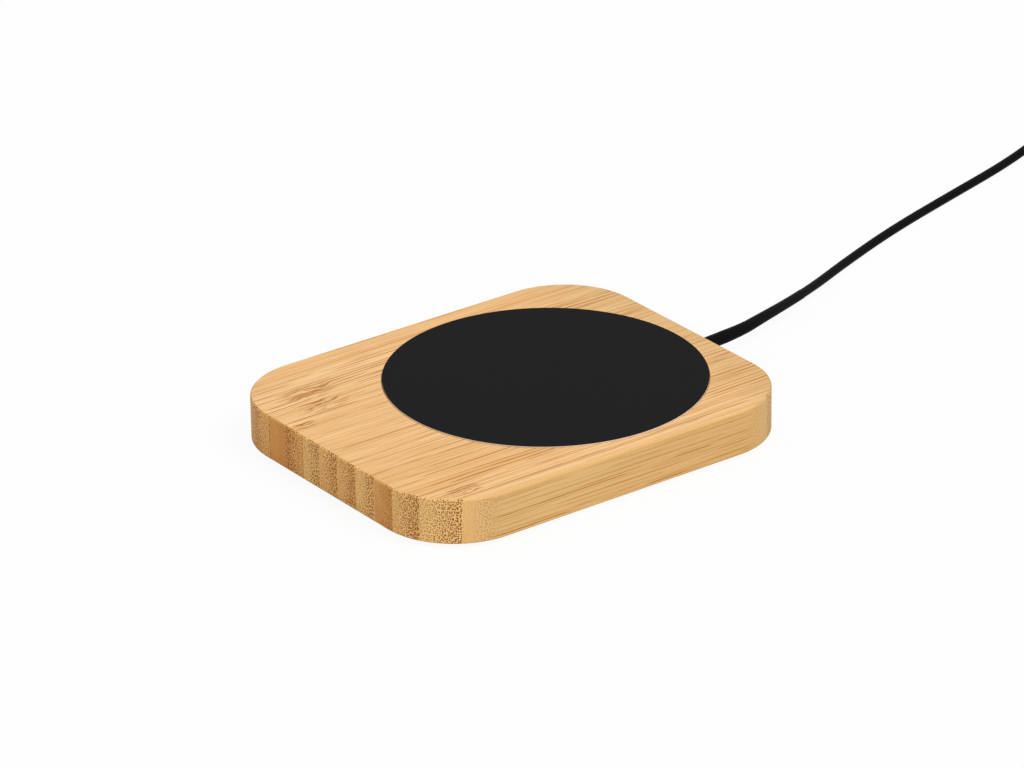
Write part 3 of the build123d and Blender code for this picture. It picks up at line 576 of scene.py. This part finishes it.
sharpAngle = 32  # degrees between two faces from which their edge shows sharp
flatMargin = 0.05 * mm  # narrow rings beside the edges keep the shading of flat faces flat
quarterSteps = 6  # faces in a quarter turn of a rounded edge
ringPoints = 40  # points round a tube, and round the squares and rectangles that join one
ringTurns = [math.radians(360 * i / ringPoints - 45) for i in range(ringPoints)]


def ringMesh(name, *shells, closed=False):
    # each shell is a row of rings; faces join each ring to the next, and a ring of one point ends a shell
    shape = bmesh.new()
    for rings in shells:
        made = [[shape.verts.new(point) for point in ring] for ring in rings]
        pairs = list(zip(made, made[1:])) + ([(made[-1], made[0])] if closed else [])
        for first, second in pairs:
            count = max(len(first), len(second))
            for i in range(count):
                j = (i + 1) % count
                corners = [first[k % len(first)] for k in (i, j)]
                corners += [second[k % len(second)] for k in (j, i)]
                shape.faces.new(dict.fromkeys(corners))  # a ring of one point gives one corner
    bmesh.ops.recalc_face_normals(shape, faces=shape.faces[:])
    mesh = bpy.data.meshes.new(name)
    shape.to_mesh(mesh)
    shape.free()
    shadeEvenly(mesh)
    return mesh


def shadeEvenly(mesh):
    mesh.shade_smooth()
    mesh.set_sharp_from_angle(angle=math.radians(sharpAngle))


def cutAway(mesh, cutter):
    # what is left of a mesh when a cutter is taken out of it
    holders = [addObject(data.name, data) for data in (mesh, cutter)]
    cut = holders[0].modifiers.new("cut", "BOOLEAN")
    cut.operation = "DIFFERENCE"
    cut.solver = "EXACT"
    cut.object = holders[1]
    graph = bpy.context.evaluated_depsgraph_get()
    result = bpy.data.meshes.new_from_object(holders[0].evaluated_get(graph))
    for holder in holders:
        bpy.data.objects.remove(holder)
    for data in (mesh, cutter):
        bpy.data.meshes.remove(data)
    shadeEvenly(result)
    return result


def turned(profile, middle, count):
    # rings of a turned form about an upright line; the profile holds radius and height
    x, y = middle
    rings = []
    for radius, height in profile:
        turns = [2 * math.pi * i / count for i in range(count if radius else 1)]
        rings.append([(x + radius * math.cos(t), y + radius * math.sin(t), height) for t in turns])
    return rings


def arc(middle, radius, start, end, steps):
    # points along an arc in a plane, its angles in degrees
    turns = [math.radians(start + (end - start) * i / steps) for i in range(steps + 1)]
    return [(middle[0] + radius * math.cos(t), middle[1] + radius * math.sin(t)) for t in turns]


def boxRing(x, halfWidth, low, high):
    # points round an upright rectangle across the board's length
    corners = [(halfWidth, low), (halfWidth, high), (-halfWidth, high), (-halfWidth, low)]
    steps = ringPoints // 4
    ring = []
    for (y, z), (nextY, nextZ) in zip(corners, corners[1:] + corners[:1]):
        ring += [(x, y + (nextY - y) * i / steps, z + (nextZ - z) * i / steps) for i in range(steps)]
    return ring


def hoopRing(x, radius, height, power=2):
    # points round an upright circle across the board's length, or a rounded square at a higher power
    ring = []
    for turn in ringTurns:
        across, upward = math.cos(turn), math.sin(turn)
        reach = radius / (abs(across) ** power + abs(upward) ** power) ** (1 / power)
        ring.append((x, reach * across, height + reach * upward))
    return ring


cordValues = {
    # from the board's end to the coil
    "route": [
        (0.0550, 0.0000, 0.00675),
        (0.0700, 0.0005, 0.00685),
        (0.0830, 0.0049, 0.00630),
        (0.0960, 0.0109, 0.00450),
        (0.1110, 0.0186, 0.00230),
        (0.1270, 0.0265, 0.00115),
        (0.1500, 0.0350, 0.00115),
        (0.1760, 0.0425, 0.00115),
        (0.2030, 0.0500, 0.00115),
        (0.2220, 0.0569, 0.00170),
    ],
    "diameter": 2.3 * mm,
    "leadIn": 21.0 * mm,  # from the route's last point to where the outer turn begins
    "midRadius": 12.6 * mm,
    "lowestTurn": 1.7 * mm,
    "columns": 4,
    # column (0 innermost) and row (0 lowest) that the turns take in order
    "winding": [
        (3, 0), (2, 0), (1, 0), (0, 0), (0, 1), (0, 2),
        (1, 2), (1, 1), (2, 1), (2, 2), (3, 2), (3, 1),
    ],
    "lastColumn": 4.05,  # of the last quarter turn, which lies outside the others
    "pointsPerTurn": 16,
    "slip": 1 / 8,  # part of a turn in which the cord slips to its next place
    "leadOut": 18.0 * mm,  # from the coil to the plug
    # how it swings back to the plug's axis: share of its length, and diameters off the axis
    "swing": [(0.30, 0.85), (0.50, 0.35), (0.70, 0.0), (1.10, 0.0)],
    "steps": 6,  # of the curve between two points
    "length": 1.2,
    "finish": {
        "shade": (13, 13, 14), "roughness": 0.5, "specular": 0.02,
        "grainSize": 0.12, "grainDepth": 0.02,
    },
}


def coilFrame(values):
    # the coil's middle, the cord's heading on entry, the way to the middle and the outer turn's radius
    before, last = (Vector(point) for point in values["route"][-2:])
    heading = Vector((last.x - before.x, last.y - before.y, 0)).normalized()
    inward = Vector((heading.y, -heading.x, 0))
    outerRadius = values["midRadius"] + values["diameter"] * (values["columns"] - 1) / 2
    middle = Vector((last.x, last.y, 0)) + heading * values["leadIn"] + inward * outerRadius
    return middle, heading, inward, outerRadius


def coilPoints(values):
    middle, heading, inward, outerRadius = coilFrame(values)
    perTurn = values["pointsPerTurn"]
    step = 2 * math.pi / perTurn
    slots = values["winding"] + [(values["lastColumn"], 1)]
    innermost = outerRadius - values["diameter"] * (values["columns"] - 1)
    points = []
    for i in range(perTurn * len(values["winding"]) + perTurn // 4 + 1):
        turn = max(0.0, (i - 0.5) / perTurn)
        slot = int(turn)
        column, row = slots[slot]
        slip = max(0.0, 1 - (slot + 1 - turn) / values["slip"])
        if slip > 0 and slot < len(slots) - 1:
            column += (slots[slot + 1][0] - column) * slip
            row += (slots[slot + 1][1] - row) * slip
        radius = (innermost + column * values["diameter"]) / math.cos(step / 2)
        angle = (i - 0.5) * step
        place = middle + (heading * math.sin(angle) - inward * math.cos(angle)) * radius
        place.z = values["lowestTurn"] + row * values["diameter"]
        points.append(place)
    return points


def leadOutPoints(values):
    middle, heading, inward, outerRadius = coilFrame(values)
    start = middle + heading * outerRadius
    start.z = values["lowestTurn"] + values["diameter"]
    ahead, aside = inward * values["leadOut"], heading * values["diameter"]
    return [start + ahead * far + aside * off for far, off in values["swing"]]


def splineCurve(name, points, radius, steps):
    curve = bpy.data.curves.new(name, "CURVE")
    curve.dimensions = "3D"
    curve.resolution_u = steps
    curve.bevel_depth = radius
    curve.bevel_resolution = 5
    curve.use_fill_caps = radius > 0
    spline = curve.splines.new("NURBS")
    spline.points.add(len(points) - 1)
    for point, place in zip(spline.points, points):
        point.co = (*place, 1)
    spline.order_u = 3
    spline.use_endpoint_u = True
    return curve


def routeLine(points, steps):
    # points along the smooth line that the route's spline makes
    curve = splineCurve("routeLine", points, 0, steps)
    holder = bpy.data.objects.new("routeLine", curve)
    mesh = bpy.data.meshes.new_from_object(holder)
    line = [vertex.co.copy() for vertex in mesh.vertices]
    bpy.data.objects.remove(holder)
    bpy.data.curves.remove(curve)
    bpy.data.meshes.remove(mesh)
    return line


def tubeRings(line, radii):
    # rings of a round tube along a line, without twist
    rings = []
    for i, (spot, radius) in enumerate(zip(line, radii)):
        ahead = (line[min(i + 1, len(line) - 1)] - line[max(i - 1, 0)]).normalized()
        sideways = Vector((0, 0, 1)).cross(ahead).normalized()
        upward = ahead.cross(sideways)
        rings.append([spot + (sideways * math.cos(t) + upward * math.sin(t)) * radius for t in ringTurns])
    return rings


def addCord(values):
    points = [Vector(point) for point in values["route"]] + coilPoints(values) + leadOutPoints(values)
    curve = splineCurve("cord", points, values["diameter"] / 2, values["steps"])
    material = plainFinish("cordJacket", values["finish"])
    return addPiece("cord", curve, material, ["cord_run", "cord_coil", "cord_end"])


sleeveValues = {
    "diameter": 3.35 * mm,
    "tipDiameter": 2.45 * mm,
    "straight": 12.0 * mm,
    "length": 50.8 * mm,
    "lip": (0.35 * mm, 0.08 * mm),  # how far its rounding reaches along the sleeve, and across it
    "lipTurns": (30, 60, 85),
    # collar inside the board: its ends along the board's length, its half width, how square it is
    "collar": (46.0 * mm, 48.0 * mm, 3.0 * mm, 7),
    "steps": 24,  # of its line between two points of the route
    "finish": {
        "shade": (13, 13, 14), "roughness": 0.55, "specular": 0.02,
        "grainSize": 0.15, "grainDepth": 0.02,
    },
}


def addSleeve(values, route):
    # collar and neck in the board, then even at first, and a taper that eases out to a rounded lip
    line = routeLine([Vector(point) for point in route], values["steps"])
    thick, thin = values["diameter"] / 2, values["tipDiameter"] / 2
    start, end, halfWidth, power = values["collar"]
    height = line[0].z
    rings = [
        [(start, 0, height)],
        hoopRing(start, halfWidth, height, power),
        hoopRing(end, halfWidth, height, power),
        hoopRing(end, thick, height),
    ]
    spots, radii, gone = [line[0]], [thick], 0.0
    for before, spot in zip(line, line[1:]):
        gone += (spot - before).length
        if gone > values["length"]:
            break
        ease = max(0.0, (gone - values["straight"]) / (values["length"] - values["straight"]))
        spots.append(spot)
        radii.append(thin + (thick - thin) * (1 - ease) ** 2)
    ahead = (spots[-1] - spots[-2]).normalized()
    rim = spots[-1]
    lipAlong, lipAcross = values["lip"]
    for turn in (math.radians(degrees) for degrees in values["lipTurns"]):
        spots.append(rim + ahead * lipAlong * math.sin(turn))
        radii.append(thin - lipAcross * (1 - math.cos(turn)))
    rings += tubeRings(spots, radii) + [[spots[-1]]]
    mesh = ringMesh("strainRelief", rings)
    material = plainFinish("sleeveRubber", values["finish"])
    return addPiece("strainRelief", mesh, material, ["strain_relief"])


cord = addCord(cordValues)
sleeve = addSleeve(sleeveValues, cordValues["route"])
print("cord laid, strain relief made")

tieValues = {
    "thickness": 0.5 * mm,
    "width": 4.0 * mm,
    "turn": 200.0,  # degrees from the cord's heading to the strap's first edge
    "slack": 0.05 * mm,
    "cornerRadius": 0.8 * mm,
    "ribs": 5,
    "ribSteps": 4,
    "ribDepth": 0.12 * mm,
    "edgeThinning": 0.3,  # share of the thickness that its two edges lack
    "finish": {"shade": (30, 30, 31), "roughness": 0.5, "specular": 0.35, "grainDepth": 0.03},
}


def addTie(values, cordSizes):
    # a ribbed strap round the bundle of turns
    middle, heading, inward, outerRadius = coilFrame(cordSizes)
    halfWide = cordSizes["diameter"] * cordSizes["columns"] / 2 + values["slack"]
    halfHigh = cordSizes["diameter"] * 1.5 + values["slack"]  # three rows of turns
    span = math.degrees(values["width"] / cordSizes["midRadius"])
    steps = values["ribs"] * values["ribSteps"]

    corner = values["cornerRadius"]

    def section(growth, share):
        # the strap's outline at one place round the coil
        turn = values["turn"] + span * share
        outward = Matrix.Rotation(math.radians(turn), 3, "Z") @ heading
        points = []
        for signX, signZ, start in ((1, 1, 0), (-1, 1, 90), (-1, -1, 180), (1, -1, 270)):
            bend = (signX * (halfWide - corner), signZ * (halfHigh - corner))
            for across, height in arc(bend, corner + growth, start, start + 90, quarterSteps):
                spot = middle + outward * (cordSizes["midRadius"] + across)
                points.append((spot.x, spot.y, values["thickness"] + halfHigh + height))
        return points

    rings = []
    for i in range(steps + 1):
        dip = values["ribDepth"] * (0.5 - 0.5 * math.cos(2 * math.pi * i / values["ribSteps"]))
        edge = values["thickness"] * values["edgeThinning"] if i in (0, steps) else 0
        rings.append(section(values["thickness"] - dip - edge, i / steps))
    rings += [section(0, i / steps) for i in range(steps, -1, -1)]
    material = plainFinish("tieStrap", values["finish"])
    return addPiece("cordTie", ringMesh("cordTie", rings, closed=True), material, ["cord_tie"])


tie = addTie(tieValues, cordValues)
print("cord tie made")

footValues = {
    "middle": (43.5 * mm, 33.0 * mm),
    "radius": 4.0 * mm,
    "height": 2.0 * mm,
    "edgeRound": 0.4 * mm,
    "points": 64,  # round a foot, and round its recess
    "finish": {
        "shade": (44, 44, 45), "roughness": 0.75, "specular": 0.25,
        "grainSize": 0.25, "grainDepth": 0.04,
    },
}

boardValues = {
    "length": 110 * mm,
    "width": 90 * mm,
    "bottom": 1.0 * mm,
    "top": 12.5 * mm,
    "cornerRadius": 20 * mm,
    "edgeRound": 0.5 * mm,
    "seatMiddle": (10.5 * mm, 0.0),
    "seatRadius": 39.9 * mm,
    "seatBevel": 0.05 * mm,
    "seatFloor": 10.4 * mm,
    "openingRadius": 36.5 * mm,
    "recessRadius": 39.4 * mm,
    "recessTop": 3.0 * mm,
    "footRecess": (4.1 * mm, 1.0 * mm),  # radius and depth
    # slot for the strain relief's collar: its ends along the board, and its half width
    "slot": (44.5 * mm, 48.0 * mm, 3.2 * mm),
    "bore": 1.7 * mm,  # radius of the hole that the cord leaves by
    "arcSteps": 24,
    "sideSteps": 14,
}


def footMiddles(values):
    x, y = values["middle"]
    return [(-x, -y), (x, -y), (x, y), (-x, y)]


def addFeet(values):
    radius, edge = values["radius"], values["edgeRound"]
    profile = [(0, 0), (radius - edge - flatMargin, 0)]
    profile += arc((radius - edge, edge), edge, -90, 0, quarterSteps)
    profile += [(radius, edge + flatMargin), (radius, values["height"]), (0, values["height"])]
    material = plainFinish("footRubber", values["finish"])
    for number, middle in enumerate(footMiddles(values), 1):
        name = f"rubberFoot{number}"
        mesh = ringMesh(name, turned(profile, middle, values["points"]))
        addPiece(name, mesh, material, [f"rubber_foot_{number}"])


def boardOutline(values, inset):
    # points round the board, set in by the given amount
    radius = values["cornerRadius"]
    spanX = values["length"] / 2 - radius
    spanY = values["width"] / 2 - radius
    corners = [(spanX, spanY), (-spanX, spanY), (-spanX, -spanY), (spanX, -spanY)]
    points = []
    for turn, (middleX, middleY) in enumerate(corners):
        start = 90 * turn
        points += arc((middleX, middleY), radius - inset, start, start + 90, values["arcSteps"])
        # the straight side that follows
        lastX, lastY = points[-1]
        nextX, nextY = corners[(turn + 1) % 4]
        for i in range(1, values["sideSteps"]):
            share = i / values["sideSteps"]
            points.append((lastX + (nextX - middleX) * share, lastY + (nextY - middleY) * share))
    return points


def boardCutter(values, feet, cordHeight):
    # recesses for the feet, and the collar's slot with the cord's bore
    slotStart, slotEnd, slotHalf = values["slot"]
    radius, depth = values["footRecess"]
    past = 0.5 * mm  # how far the cutter stands out of the board
    low, end = values["recessTop"] - past, values["length"] / 2 + past
    shells = [
        [
            [(slotStart, 0, cordHeight)],
            boxRing(slotStart, slotHalf, low, cordHeight + slotHalf),
            boxRing(slotEnd, slotHalf, low, cordHeight + slotHalf),
            hoopRing(slotEnd, values["bore"], cordHeight),
            hoopRing(end, values["bore"], cordHeight),
            [(end, 0, cordHeight)],
        ]
    ]
    low, high = values["bottom"] - past, values["bottom"] + depth
    profile = [(0, low), (radius, low), (radius, high), (0, high)]
    shells += [turned(profile, middle, feet["points"]) for middle in footMiddles(feet)]
    return ringMesh("boardCutter", *shells)


def addBoard(values, feet, cordHeight):
    middleX, middleY = values["seatMiddle"]
    turns = [math.atan2(y - middleY, x - middleX) for x, y in boardOutline(values, 0)]

    def inside(radius, height):
        return [(middleX + radius * math.cos(t), middleY + radius * math.sin(t), height) for t in turns]

    def outside(inset, height):
        return [(x, y, height) for x, y in boardOutline(values, inset)]

    edge, top, bottom = values["edgeRound"], values["top"], values["bottom"]
    seat, bevel = values["seatRadius"], values["seatBevel"]
    rounding = arc((edge, edge), edge, -90, -180, quarterSteps)  # inset and depth
    rings = [
        inside(values["openingRadius"], values["seatFloor"]),
        inside(seat, values["seatFloor"]),
        inside(seat, top - bevel),
        inside(seat + bevel, top),
        inside(seat + bevel + flatMargin, top),
        outside(edge + flatMargin, top),
    ]
    rings += [outside(inset, top - depth) for inset, depth in rounding]
    rings += [outside(0, top - edge - flatMargin), outside(0, bottom + edge + flatMargin)]
    rings += [outside(inset, bottom + depth) for inset, depth in reversed(rounding)]
    rings += [
        outside(edge + flatMargin, bottom),
        inside(values["recessRadius"], bottom),
        inside(values["recessRadius"], values["recessTop"]),
        inside(values["openingRadius"], values["recessTop"]),
    ]
    block = ringMesh("boardBlock", rings, closed=True)
    mesh = cutAway(block, boardCutter(values, feet, cordHeight))
    addPiece("bambooBoard", mesh, BambooFinish(bambooValues).finished(), ["bamboo_board"])


addFeet(footValues)
addBoard(boardValues, footValues, cordValues["route"][0][2])
print("board and feet made")

plateValues = {
    "middle": (10.5 * mm, 0.0),
    "radius": 39.8 * mm,
    "top": 12.8 * mm,
    "under": 11.2 * mm,
    "edgeRound": 0.1 * mm,
    "edgeSteps": 4,
    "points": 192,  # round the plate
    "innerRing": 0.6,  # share of the radius, where a ring divides the long faces of the top
    # pillars below it: radius, lower end, radius of the tapped hole, its upper end, bolt circle
    "pillar": (2.3 * mm, 8.5 * mm, 1.28 * mm, 11.8 * mm, 33.4 * mm),
    "pillarTurns": (45, 135, 225, 315),  # degrees
    "pillarRoot": 0.1 * mm,  # how far a pillar reaches into the plate
    "shade": (17, 17, 19),
    "lift": 1.08,  # the lightest spots against the shade
    "grainScale": 9.0,  # grains in a mm
    "cloudScale": 0.06,  # clouds in a mm
    "edgeTurn": (0.75, 0.45),  # how level a face is where the coating ends, and where all is the rim's painted highlight
    "rimHighlightShade": (252, 240, 220),  # painted highlight round the rim
    "edgeDim": 0.8,  # its fine bands against the shade
    "markScale": 30.0,  # fine bands in a mm
    "markShare": 0.3,
    "roughness": 0.6,
    "unevenness": 0.1,  # of the roughness
    "edgeRoughness": 0.3,
    "edgeMetallic": 0.4,
    "specular": 0.03,
    "relief": 0.006,  # in mm
}


def plateFinish(values):
    # matt coating on the face, and round the rim a painted highlight, a little metallic and smoother
    finish = Finish("mattPlateCoating")
    place = finish.place()
    height = finish.split(place)[2]
    grain = finish.noise(place, values["grainScale"], 2.0, 0.6)
    cloud = finish.noise(place, values["cloudScale"])
    coatEnd, highlightWhole = values["edgeTurn"]
    rimHighlight = 1 - finish.facing()[2].smooth(highlightWhole, coatEnd)
    marks = finish.noise(finish.join(height * values["markScale"], 0.0, 0.0))
    lighter = tuple(part * values["lift"] for part in values["shade"])
    darker = tuple(part * values["edgeDim"] for part in values["rimHighlightShade"])
    coated = finish.mix(cloud, tint(values["shade"]), tint(lighter))
    # painted highlight round the rim, with fine bands
    metal = finish.mix(marks * values["markShare"], tint(values["rimHighlightShade"]), tint(darker))
    smoother = rimHighlight * (values["roughness"] - values["edgeRoughness"])
    return finish.surface(
        Base_Color=finish.mix(rimHighlight, coated, metal),
        Roughness=values["roughness"] + (grain - 0.5) * values["unevenness"] - smoother,
        Metallic=rimHighlight * values["edgeMetallic"],
        Specular_IOR_Level=values["specular"],
        Normal=finish.bump(grain, values["relief"]),
    )


def addPlate(values):
    radius, edge = values["radius"], values["edgeRound"]
    top, under = values["top"], values["under"]
    profile = [(0, top), (radius * values["innerRing"], top), (radius - edge - flatMargin, top)]
    profile += arc((radius - edge, top - edge), edge, 90, 0, values["edgeSteps"])
    profile += [(radius, top - edge - flatMargin), (radius, under), (0, under)]
    shells = [turned(profile, values["middle"], values["points"])]
    wide, low, hole, holeTop, circle = values["pillar"]
    root = under + values["pillarRoot"]
    pillar = [(0, root), (wide, root), (wide, low), (hole, low), (hole, holeTop), (0, holeTop)]
    middleX, middleY = values["middle"]
    for turn in (math.radians(degrees) for degrees in values["pillarTurns"]):
        middle = (middleX + circle * math.cos(turn), middleY + circle * math.sin(turn))
        shells.append(turned(pillar, middle, ringPoints))
    mesh = ringMesh("heatingPlate", *shells)
    addPiece("heatingPlate", mesh, plateFinish(values), ["heating_plate"])


addPlate(plateValues)
print("heating plate made")

# the finishes of the pieces taken over as they are, with the nodes that each is for
stuffValues = {
    "gasketSilicone": {
        "nodes": ["plate_gasket"], "shade": (52, 52, 54), "roughness": 0.6, "grainSize": 0.3,
        "grainDepth": 0.02,
    },
    "thermalPad": {
        "nodes": ["thermal_adhesive"], "shade": (176, 178, 184), "roughness": 0.7, "grainDepth": 0.03,
    },
    "amberFilm": {
        "nodes": ["heater_film", "heater_cover_film"], "shade": (190, 112, 34), "roughness": 0.25,
        "coat": 0.6, "grainSize": 2.0,
    },
    "etchedFoil": {"nodes": ["heater_track"], "shade": (196, 186, 170), "metallic": 1.0, "roughness": 0.38},
    "ceramicFelt": {
        "nodes": ["insulation_pad"], "shade": (214, 210, 200), "roughness": 0.95, "specular": 0.1,
        "lift": 1.12, "grainSize": 0.4, "stretch": (1, 3, 1), "grainDepth": 0.25,
    },
    "zincPlate": {
        "nodes": ["pressing_plate", "fuse_clip"], "shade": (176, 180, 186), "metallic": 1.0,
        "roughness": 0.36, "lift": 1.3, "grainSize": 0.9,
    },
    "fuseGlaze": {
        "nodes": ["thermal_fuse"], "shade": (206, 198, 176), "roughness": 0.3, "coat": 0.5,
        "grainSize": 0.5,
    },
    "tinnedWire": {
        "nodes": ["fuse_leads", "sensor_leads"], "shade": (188, 184, 178), "metallic": 1.0,
        "roughness": 0.32, "stretch": (0.2, 1, 1),
    },
    "blackEpoxy": {
        "nodes": ["temperature_sensor"], "shade": (34, 34, 38), "roughness": 0.3, "coat": 0.3,
        "grainSize": 0.4,
    },
    "greenResist": {
        "nodes": ["circuit_board"], "shade": (22, 92, 52), "roughness": 0.35, "coat": 0.4,
        "grainSize": 0.35, "stretch": (1, 0.1, 1),
    },
    "chipMould": {
        "nodes": ["controller_chip", "power_transistor"], "shade": (36, 36, 38), "roughness": 0.55,
        "grainSize": 0.1, "grainDepth": 0.02,
    },
    "tanCeramic": {
        "nodes": ["board_capacitors"], "shade": (176, 142, 102), "roughness": 0.5, "grainSize": 0.15,
    },
    "blackCeramic": {
        "nodes": ["board_resistors"], "shade": (38, 38, 40), "roughness": 0.4, "grainSize": 0.15,
    },
    "redWireJacket": {
        "nodes": ["supply_wire_red", "fuse_wire_red", "heater_wire_red"], "shade": (176, 26, 24),
        "roughness": 0.38,
    },
    "blackWireJacket": {
        "nodes": ["supply_wire_black", "heater_wire_black"], "shade": (28, 28, 29), "roughness": 0.38,
    },
    "clampNylon": {
        "nodes": ["cord_clamp"], "shade": (214, 212, 204), "roughness": 0.5, "lift": 1.08,
        "grainSize": 0.3, "grainDepth": 0.02,
    },
    "coverMould": {
        "nodes": ["bottom_cover"], "shade": (38, 38, 39), "roughness": 0.62, "specular": 0.3,
        "unevenness": 0.25, "grainSize": 0.28, "grainDepth": 0.06,
    },
    "screwZinc": {
        "nodes": ["cover_screws", "circuit_board_screws", "cord_clamp_screws"], "shade": (168, 168, 170),
        "metallic": 1.0, "roughness": 0.3, "grainSize": 0.3,
    },
    "innerCordJacket": {
        "nodes": ["cord_tail"], "shade": (13, 13, 14), "roughness": 0.5, "specular": 0.22,
        "grainSize": 0.12, "grainDepth": 0.02,
    },
    "plugMould": {
        "nodes": ["usb_plug_body"], "shade": (28, 28, 29), "roughness": 0.55, "specular": 0.3,
        "unevenness": 0.2, "grainDepth": 0.04,
    },
    "nickelShell": {
        "nodes": ["usb_plug_shell"], "shade": (196, 192, 186), "metallic": 1.0, "roughness": 0.24,
        "lift": 1.1, "grainSize": 0.25, "stretch": (1, 1, 0.15), "grainDepth": 0.006,
    },
    "plugInsert": {
        "nodes": ["usb_plug_insert"], "shade": (222, 221, 216), "roughness": 0.5, "lift": 1.06,
        "grainSize": 0.3,
    },
    "goldContacts": {
        "nodes": ["usb_plug_contacts"], "shade": (214, 170, 86), "metallic": 1.0, "roughness": 0.25,
        "lift": 1.1, "grainSize": 0.15, "grainDepth": 0.006,
    },
}

for name, values in stuffValues.items():
    material = plainFinish(name, values)
    for node in values["nodes"]:
        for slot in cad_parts[node].material_slots:
            slot.material = material
print("finishes given to the pieces taken over")
